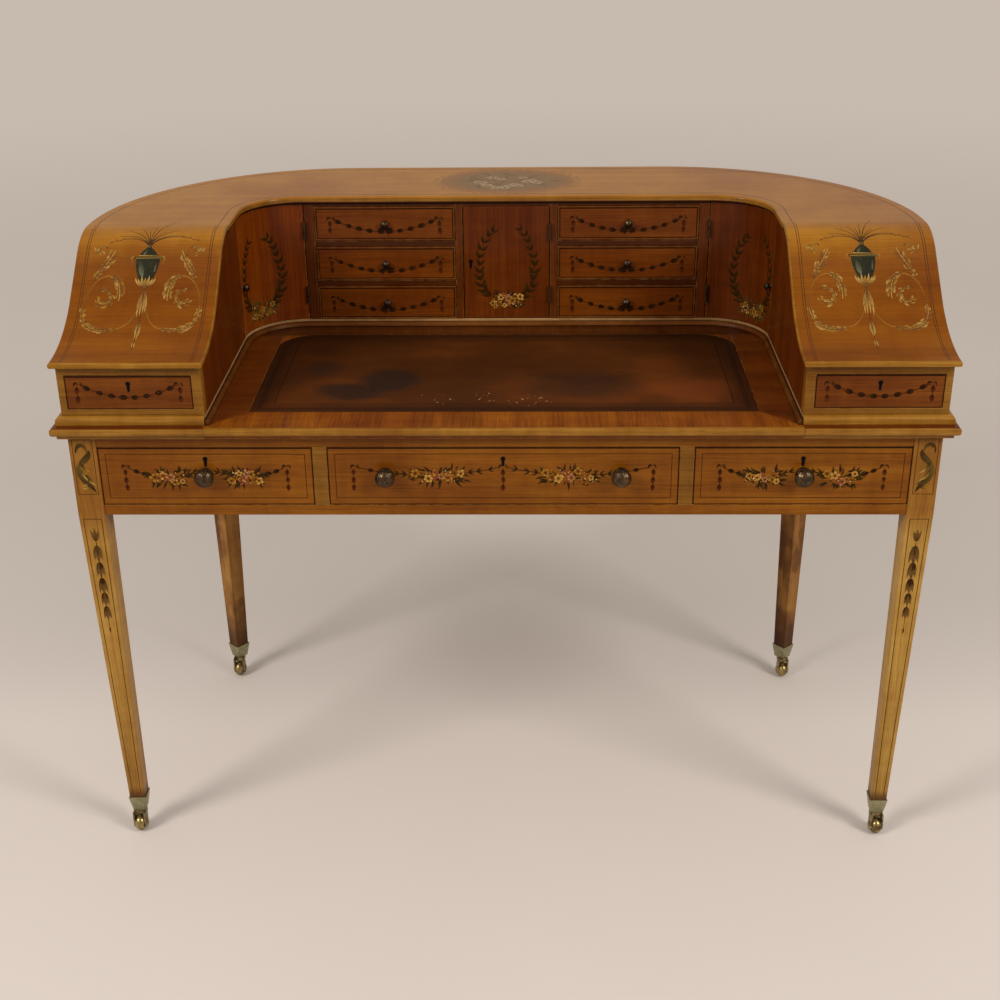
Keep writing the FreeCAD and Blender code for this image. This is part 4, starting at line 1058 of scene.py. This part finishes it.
# %% Urns
URN_STROKES = (
    ((2j, 52j), 38, URN_DARK, URN_DARK, "bowl", 14, 0),
    ((-5 + 18j, -10 + 32j, -11 + 50j), 8, URN_LIGHT, URN_DARK, "leaf", 6, 1),
    ((12 + 26j, 14 + 36j, 14 + 50j), 2.5, URN_LIGHT, URN_DARK, "leaf", 6, 1),
    ((57j, 74j), 32, URN_DARK, URN_DARK, "lid", 10, 0),
    ((-8 + 59j, -4 + 64j, -2 + 71j), 3.5, URN_LIGHT, URN_DARK, "leaf", 5, 1),
    ((-22 + 54j, 22 + 54j), 4.5, MOSS, SAGE, "line", 6, 1),
    ((-20 + 53j, 8 + 53j), 1.2, GOLD, SAGE, "line", 4, 2),
    ((-15 + 58j, 15 + 58j), 1.4, STRAW, SAGE, "line", 4, 2),
    ((-3.5 + 76j, 3.5 + 76j), 6, SAGE, MOSS, "line", 3, 2),
)
URN_HANDLE = (20 + 56j, 30 + 60j, 27 + 44j, 19 + 38j)
URN_CUP = (16 + 17j, 11 + 15j, 6 + 21j)
GRASSES = ((-84, 66, 4), (-66, 56, 0), (-44, 54, 0), (-22, 48, 0), (-8, 40, 0), (4, 58, 0), (20, 80, 3),
           (30, 42, 0), (46, 58, 0), (66, 58, 0), (82, 80, 5))
HANGING_LEAVES = ((3, 50, 0.11), (14, 36, 0.05), (66, 30, 0.09), (80, 24, 0.05), (108, 20, 0.08))
SLOPE_STRINGS = (-99.5, -96, 96, 99.5)


def urn(pattern, foot):
    """The urn with its lid, rim, handles and leaf cup, standing on a point of the middle line."""
    for points, width, base, tip, shape, steps, layer in URN_STROKES:
        path = [foot + point for point in points]
        pattern.stroke(path, width, base, tip, shape, steps, 0.22 if layer else 0.3, layer)
    for side in (-1, 1):
        pattern.stroke([foot + point for point in mirrored(URN_HANDLE, side)], 2.2, GOLD, UMBER, steps=6)
        for end in URN_CUP:
            bends = mirrored((1, complex(end.real * 0.9, end.imag * 0.3), end), side)
            pattern.stroke([foot + bend for bend in bends], 4.6, UMBER, STRAW, steps=6, layer=2)
    pattern.stroke([foot - 2j, foot + 17j], 5, UMBER, GOLD, steps=6, layer=2)
    pattern.dot(foot - 2j, 5, SAGE)


def plume(pattern, foot):
    """Fine grasses with seed heads, fanned out from the lid."""
    for tilt, length, seeds in GRASSES:
        up = math.radians(90 - tilt)
        bend = cmath.rect(length * 0.55, up + math.radians(tilt * 0.6))
        path = [foot, foot + bend, foot + cmath.rect(length, up)]
        pattern.stroke(path, 1.8, BARK, MOSS, "stem", steps=8)
        for number in range(seeds):
            place = bezier(path, 0.7 + 0.3 * number / seeds) + 1j * (1.5 - 3 * (number % 2))
            pattern.stroke([place, place + cmath.rect(5, up)], 1.7, UMBER, MOSS, steps=3)


def acanthus(pattern, path, count, size, base=UMBER, tip=STRAW, width=2.2):
    """A stem with curling leaflets on both sides, like a leaf of a scroll."""
    follow = path if callable(path) else lambda t: bezier(path, t)
    pattern.stroke(path, width, base, tip, "stem", steps=16)
    for number in range(count):
        t = 0.04 + 0.88 * number / count
        here, ahead = follow(t), follow(t + 0.03) - follow(t)
        ahead = ahead / abs(ahead)
        for way in (-1, 1):
            length = about(size, 0.3) * (0.55 + 0.45 * math.sin(math.pi * t))
            curl = [here, here + ahead * length * complex(0.5, 0.6 * way),
                    here + ahead * length * complex(1.0, about(0.3, 0.5) * way)]
            shade = drawn_by_hand.choice((tip, GOLD, AMBER))
            pattern.stroke(curl, length * about(0.34, 0.3), base, shade, steps=4, layer=1)


def spiral(middle, start, turns, outer, inner):
    """A path that winds in about a middle; turns below zero wind clockwise."""
    return lambda t: middle + cmath.rect(outer + (inner - outer) * t ** 0.8, start + turns * math.tau * t)


def scrolls(pattern, side):
    """One side's scroll: a thin stem, leafy turns, a spiral inside them and a sprig above."""
    def reflected(path):
        return lambda t: complex(side * path(t).real, path(t).imag)

    pattern.stroke(mirrored([3 + 172j, 5 + 128j, 16 + 102j, 40 + 98j], side), 1.2, UMBER, GOLD, "line", 10)
    acanthus(pattern, mirrored([34 + 99j, 56 + 92j, 74 + 97j, 83 + 112j], side), 7, 13)
    acanthus(pattern, mirrored([79 + 104j, 88 + 116j, 92 + 130j, 90 + 146j], side), 4, 11)
    pattern.stroke(mirrored([90 + 136j, 93 + 176j, 74 + 206j, 54 + 202j], side), 1.2, UMBER, GOLD, "line", 12)
    acanthus(pattern, mirrored([58 + 203j, 42 + 200j, 36 + 182j, 38 + 156j], side), 7, 13)
    acanthus(pattern, reflected(spiral(63 + 160j, math.radians(60), 0.85, 18, 7)), 7, 11)
    acanthus(pattern, mirrored([80 + 194j, 74 + 210j, 62 + 226j, 53 + 250j], side), 7, 14)
    acanthus(pattern, reflected(spiral(74 + 250j, math.radians(150), -0.8, 9, 3)), 3, 9)
    for turn in (70, 110):
        leaf(pattern, complex(side * 84, 244), math.radians(90 - side * (90 - turn)), 13, UMBER, STRAW, 0.24)


def hanging_leaves(pattern, top):
    """Slim leaves, berries and a thread that hang below the urn."""
    pattern.stroke([top, top - 138j], 1.3, RUST, UMBER, "stem", 8)
    for below, length, spread in HANGING_LEAVES:
        place = top - 1j * below
        for way in (-1, 1):
            ahead = cmath.rect(about(length), -math.pi / 2 + spread * way)
            path = [place, place + ahead * complex(0.5, spread * way), place + ahead]
            pattern.stroke(path, 1.2 + length * 0.06, UMBER, STRAW, steps=5)
    for below in (2, 56, 62):
        pattern.dot(top - 1j * below, 3.4, RUST)


for hand, side in HANDS.items():
    pattern = Pattern()
    for edge in SLOPE_STRINGS:
        pattern.stroke([complex(edge, 6), complex(edge, 321)], 0.9, INLAY, shape="line", steps=90)
    for way in (-1, 1):
        scrolls(pattern, way)
    hanging_leaves(pattern, 180j)
    plume(pattern, 258j)
    urn(pattern, 182j)
    lay(pattern, f"{hand}_slope_urn", "desk", slope_face(side), polished_paint)

# %% [markdown]
# ## Leg panels
# The square top of each front leg has an inlaid panel with a leaf scroll, and the taper below has lines
# that follow its edges and a chain of husks that shrink downwards.

# %% Leg panels
PANEL_MIDDLE = 695
PANEL_HALF = (15.5, 46)
LINES_TOP = 606
LINES_LONG = 530
TAPER_INSET = 6.5
CHAIN_TOP = 560
CHAIN_TONES = (tone(72, 50, 22), tone(126, 92, 46))
SCROLL_DARK = tone(58, 38, 14)
SCROLL_MIDDLE = tone(108, 86, 40)
SCROLL_END = tone(44, 28, 10)
SCROLL_LOBES = ((-6, 704, -70, 17), (-4, 698, -45, 18), (-6, 690, -66, 20), (-3, 683, -48, 18),
                (1, 674, -38, 15), (3, 666, -160, 13), (6, 660, -172, 15), (-9, 730, -95, 9))


def leg_scroll(pattern, side):
    """The leaf scroll of a leg panel: a hook, a lobed leaf and a dark tail."""
    hook = [-12 + 717j, -10 + 740j, 9 + 736j, 7 + 710j]
    body = [9 + 724j, 10 + 706j, -12 + 706j, -9 + 686j]
    tail = [-9 + 702j, -14 + 676j, 6 + 668j, 13 + 651j]
    pattern.stroke(mirrored(hook, side), 6.5, SCROLL_DARK, SCROLL_MIDDLE, steps=10)
    pattern.stroke(mirrored(body, side), 10, SCROLL_DARK, SCROLL_MIDDLE, steps=10)
    pattern.stroke(mirrored(tail, side), 12, SCROLL_MIDDLE, SCROLL_END, steps=12)
    for across, up, turn, size in SCROLL_LOBES:
        lean = math.radians(turn if side > 0 else 180 - turn)
        tip = drawn_by_hand.choice((SAGE, STRAW, GOLD))
        leaf(pattern, complex(side * across, up), lean, size, SCROLL_DARK, tip, 0.27, layer=1)


def leg_pattern(side):
    """The ornament of one front leg, up the middle of its front."""
    pattern = Pattern()
    pattern.frame(*PANEL_HALF, STRING_WIDE, LEG_INLAY, 1j * PANEL_MIDDLE)
    leg_scroll(pattern, -side)
    for edge in (-1, 1):
        def line(t):
            height = LINES_TOP - LINES_LONG * t
            return complex(edge * (leg_shape(height)[1] - TAPER_INSET), height)

        pattern.stroke(line, STRING_WIDE, LEG_INLAY, shape="line", steps=12)
    ends = [complex(edge * (LEG_HALF - TAPER_INSET), LINES_TOP) for edge in (-1, 1)]
    pattern.stroke(ends, STRING_WIDE, LEG_INLAY, shape="line")
    husk(pattern, 1j * (CHAIN_TOP + 6), math.pi / 2, 22, *CHAIN_TONES, belly=0.12, mouth=0.3)
    height = CHAIN_TOP
    for number in range(5):
        size = 31 - 1.7 * number
        pattern.stroke([complex(0, height + 5), complex(0, height - 2)], 1.2, BARK, shape="line", steps=2)
        husk(pattern, complex(0, height), -math.pi / 2, size, *CHAIN_TONES, belly=0.12, mouth=0.22)
        husk(pattern, complex(0, height), -math.pi / 2, size * 0.55, BARK, BARK, belly=0.3, mouth=0.2)
        height -= size * 0.97
    pattern.stroke([complex(0, height + 8), complex(0, height - 26)], 1.0, BARK, RUST, "stem", steps=4)
    pattern.stroke([complex(0, height - 16), complex(0, height - 28)], 2.6, BARK, RUST, steps=4)
    return pattern


for hand, side in HANDS.items():
    lay(leg_pattern(side), f"{hand}_leg_panel", "desk", leg_face(side))

# %% [markdown]
# ## The medallion and lines of the flat top
# An oval with a grey-brown ground lies in the middle of the flat top and fades into the wood. It carries
# a loose spray of pale flowers and has a ring of leaves. Dark lines follow the edge of the bay and the
# outside.

# %% Flat top
LINES_FRONT = -54
BAY_LINE = 16
OUTER_LINE = 18
OVAL_MIDDLE = complex(1, 238)
OVAL_HALF = complex(120, 86)
OVAL_GROUND = tone(136, 107, 66)
OVAL_RIM = tone(158, 107, 56)
RING_LEAVES = 64
RING_LEAF = (tone(140, 100, 52), tone(176, 134, 80))
SPRAY_LEAVES = 30
SPRAY_LEAF = (tone(116, 92, 54), tone(126, 104, 66))
SPRAY_FLOWERS = 14
SPRAY_FLOWER = (tone(156, 130, 94), tone(184, 162, 130), tone(132, 102, 64))


def round_line(pattern, corner, radius):
    """An inlaid line that runs back along one side, round both corners and forward again."""
    corner_x, corner_y = (part / MM for part in corner)
    for side in (-1, 1):
        edge = side * (corner_x + radius)
        pattern.stroke([complex(edge, LINES_FRONT), complex(edge, corner_y)], STRING_WIDE, INLAY,
                       shape="line", steps=8)
        pattern.stroke(lambda t, side=side: complex(side * corner_x, corner_y)
                       + radius * complex(side * math.cos(t * math.pi / 2), math.sin(t * math.pi / 2)),
                       STRING_WIDE, INLAY, shape="line", steps=48)
    pattern.stroke([complex(-corner_x, corner_y + radius), complex(corner_x, corner_y + radius)],
                   STRING_WIDE, INLAY, shape="line", steps=8)


def in_oval(share, half_x, half_y):
    """A random spot of the oval at a share of its half width, within a smaller oval."""
    up = drawn_by_hand.uniform(-half_y, half_y) * math.sqrt(1 - share ** 2)
    return OVAL_MIDDLE + complex(share * half_x, up)


pattern = Pattern()
round_line(pattern, BAY_CORNER, BAY_BEND / MM + BAY_LINE)
round_line(pattern, CORNER, (TOP_HALF - CORNER[0]) / MM - OUTER_LINE)
pattern.ground(OVAL_MIDDLE, OVAL_HALF.real, OVAL_HALF.imag, OVAL_GROUND, OVAL_RIM, 0.3)
for number in range(RING_LEAVES):
    turn = math.tau * number / RING_LEAVES
    spot = OVAL_MIDDLE + complex(OVAL_HALF.real * math.cos(turn), OVAL_HALF.imag * math.sin(turn)) * 1.06
    leaf(pattern, spot, turn + math.pi / 2 + 0.5 * (-1) ** number, 16, *RING_LEAF)
for number in range(SPRAY_LEAVES):
    spot = in_oval(number / (SPRAY_LEAVES - 1) * 2 - 1, 74, 46)
    leaf(pattern, spot, drawn_by_hand.uniform(0, math.tau), 30, *SPRAY_LEAF)
for number in range(SPRAY_FLOWERS):
    spot = in_oval((number + 0.5) / SPRAY_FLOWERS * 2 - 1, 56, 56)
    flower(pattern, spot, about(20), *SPRAY_FLOWER)
lay(pattern, "flat_top_medallion", "desk", top_face, polished_paint)

# %% [markdown]
# ## Keyholes and drawer beads
# A keyhole is lined with a thread of brass. It starts as a disc whose lowest corners are pulled down
# into a slot. Extruding it gives the thread its height, and two insets leave a rim and sink the dark hole
# inside it. The small drawers are edged with a bead: a rectangle is inset, the middle taken out, and the
# ring raised and rounded.

# %% Keyholes
KEY_RADIUS = 4.0
KEY_SLOT = 9.0
THREAD_WIDE = 0.5
THREAD_HIGH = 0.4


def dark_finish():
    """The inside of a keyhole: nearly black, with a little dust."""
    material, place, shader = new_finish("keyhole_dark")
    dust = place.noise(500.0)
    set_finish(shader, Base_Color=dust.mix(tone(8, 5, 3), tone(20, 13, 8)), Roughness=0.95,
               Specular_IOR_Level=0.05)
    return material


keyhole_dark = dark_finish()


def keyhole(name, body, face, at):
    """A keyhole with a brass thread, its round end at a point of a face."""
    hole = bmesh.new()
    bmesh.ops.create_circle(hole, cap_ends=True, segments=16, radius=KEY_RADIUS)
    for vert in hole.verts:
        if vert.co.y < -0.9 * KEY_RADIUS:
            vert.co.y -= KEY_SLOT
            vert.co.x *= 1.4
    raised = bmesh.ops.extrude_face_region(hole, geom=hole.faces[:], use_keep_orig=True)["geom"]
    middle = next(item for item in raised if isinstance(item, bmesh.types.BMFace))
    bmesh.ops.translate(hole, vec=(0, 0, THREAD_HIGH), verts=middle.verts[:])
    bmesh.ops.recalc_face_normals(hole, faces=hole.faces[:])
    for inward, sunk in ((THREAD_WIDE, 0.0), (THREAD_WIDE / 2, -0.7 * THREAD_HIGH)):
        bmesh.ops.inset_region(hole, faces=[middle], thickness=inward, depth=sunk, use_even_offset=True)
    middle.material_index = 1
    for vert in hole.verts:
        vert.co = face(at.real + vert.co.x, at.imag + vert.co.y, vert.co.z - 0.1)
    piece = add_piece(name, hole, knob_brass, body)
    piece.data.materials.append(keyhole_dark)
    return piece


keyholes = [(name, f"{name}_front", 29j) for name in FRIEZE_DRAWERS]
keyholes += [(f"{hand}_arm_drawer", f"{hand}_arm_drawer", 14j) for hand in HANDS]
keyholes.append(("centre_door", "centre_door", -63 + 3j))
for body, node, at in keyholes:
    keyhole(f"{body}_keyhole", body, front_of(node)[0], at)
print(len(keyholes), "keyholes")

# %% Drawer beads
BEAD_WIDE = 3.0
BEAD_PROUD = 1.2
bead_finish = wood("cock_bead_satinwood", COCK_BEAD, "x", polish=0.1)


def cock_bead(name, body, face, width, height):
    """A half-round bead round the edge of a drawer front."""
    bead = bmesh.new()
    bmesh.ops.create_grid(bead, x_segments=1, y_segments=1, size=0.5)
    bmesh.ops.scale(bead, vec=(width, height, 1.0), verts=bead.verts[:])
    bmesh.ops.inset_region(bead, faces=bead.faces[:], thickness=BEAD_WIDE, use_boundary=True,
                           use_even_offset=True)
    middle = max(bead.faces, key=lambda f: f.calc_area())
    bmesh.ops.delete(bead, geom=[middle], context="FACES_ONLY")
    raised = bmesh.ops.extrude_face_region(bead, geom=bead.faces[:], use_keep_orig=True)
    top = [item for item in raised["geom"] if isinstance(item, bmesh.types.BMVert)]
    bmesh.ops.translate(bead, vec=(0, 0, BEAD_PROUD), verts=top)
    bmesh.ops.recalc_face_normals(bead, faces=bead.faces[:])
    crown = [edge for edge in bead.edges
             if all(vert in top for vert in edge.verts) and not edge.is_boundary
             and edge.calc_face_angle(0.0) > 1.0]
    bmesh.ops.bevel(bead, geom=crown, offset=BEAD_PROUD * 0.9, offset_type="OFFSET", segments=3,
                    profile=0.5, affect="EDGES", material=-1, clamp_overlap=True)
    for vert in bead.verts:
        vert.co = face(*vert.co)
    return add_piece(name, bead, bead_finish, body)


for name in SMALL_DRAWERS:
    cock_bead(f"{name}_bead", name, *front_of(name))
print(len(SMALL_DRAWERS), "drawer beads")

# %% [markdown]
# ## Floor and light
# The desk stands on a plain pale floor. Two large soft lamps in front, to the left and the right, give
# the crossed soft shadows of the photograph, and a pale world fills the rest.

# %% Floor
FLOOR_HALF = 16.0
PAPER = tone(209, 200, 191)
PAPER_LIGHT = tone(216, 207, 199)
FAR_PAPER = tone(199, 186, 174)
FAR_SHADE = tone(12, 11, 10)
BLACK = tone(0, 0, 0)


def seen(place):
    """1 for rays from the eye, a mirror or a glass, and 0 for rays that carry light."""
    rays = place.node("ShaderNodeLightPath").socket.node
    names = ("Is Camera Ray", "Is Glossy Ray", "Is Transmission Ray")
    total = sum(Wire(rays.outputs[name]) for name in names)
    return total.reckon("MINIMUM", 1.0)


def floor_finish():
    """Pale matt paper, which the lamps light near the desk and which stays pale far away."""
    material, place, shader = new_finish("pale_floor")
    scuffs = place.noise(1.4, 4.0)
    distance = place.node("ShaderNodeVectorMath", {"operation": "LENGTH"}, {0: place}, out="Value")
    far = distance.fade(1.2, 7.0)
    paper = scuffs.mix(PAPER, PAPER_LIGHT)
    set_finish(shader, Base_Color=(1 - far).mix(FAR_SHADE, paper), Roughness=0.75,
               Specular_IOR_Level=0.0, Emission_Strength=1.0,
               Emission_Color=(far * seen(place)).mix(BLACK, FAR_PAPER))
    return material


ground = bmesh.new()
bmesh.ops.create_grid(ground, x_segments=8, y_segments=8, size=FLOOR_HALF)
floor = add_mesh("floor", ground, floor_finish())

# %% Light
LAMPS = {
    "left_lamp": ((-3.2, -2.6, 3.2), 118.0),
    "right_lamp": ((3.2, -2.5, 3.2), 108.0),
}
LAMP_SIZE = 1.6
LAMP_COLOUR = (1.0, 0.97, 0.94)
SKY_LIGHT = tone(194, 188, 183)
LAMP_AIM = Vector((0, 0, 0.6))
for name, (place, power) in LAMPS.items():
    lamp = add_object(name, bpy.data.lights.new(name, "AREA"))
    lamp.data.shape = "DISK"
    lamp.data.size = LAMP_SIZE
    lamp.data.energy = power
    lamp.data.color = LAMP_COLOUR
    lamp.location = place
    lamp.rotation_euler = (LAMP_AIM - lamp.location).to_track_quat("-Z", "Y").to_euler()

world = bpy.data.worlds.new("studio")
bpy.context.scene.world = world
world.use_nodes = True
background = world.node_tree.nodes["Background"]
direction = Wire(world.node_tree.nodes.new("ShaderNodeTexCoord").outputs["Generated"])
sky = seen(direction).mix(SKY_LIGHT, FAR_PAPER)
world.node_tree.links.new(sky.socket, background.inputs["Color"])
bpy.context.scene.view_settings.view_transform = "Standard"
print("floor and", len(LAMPS), "lamps")
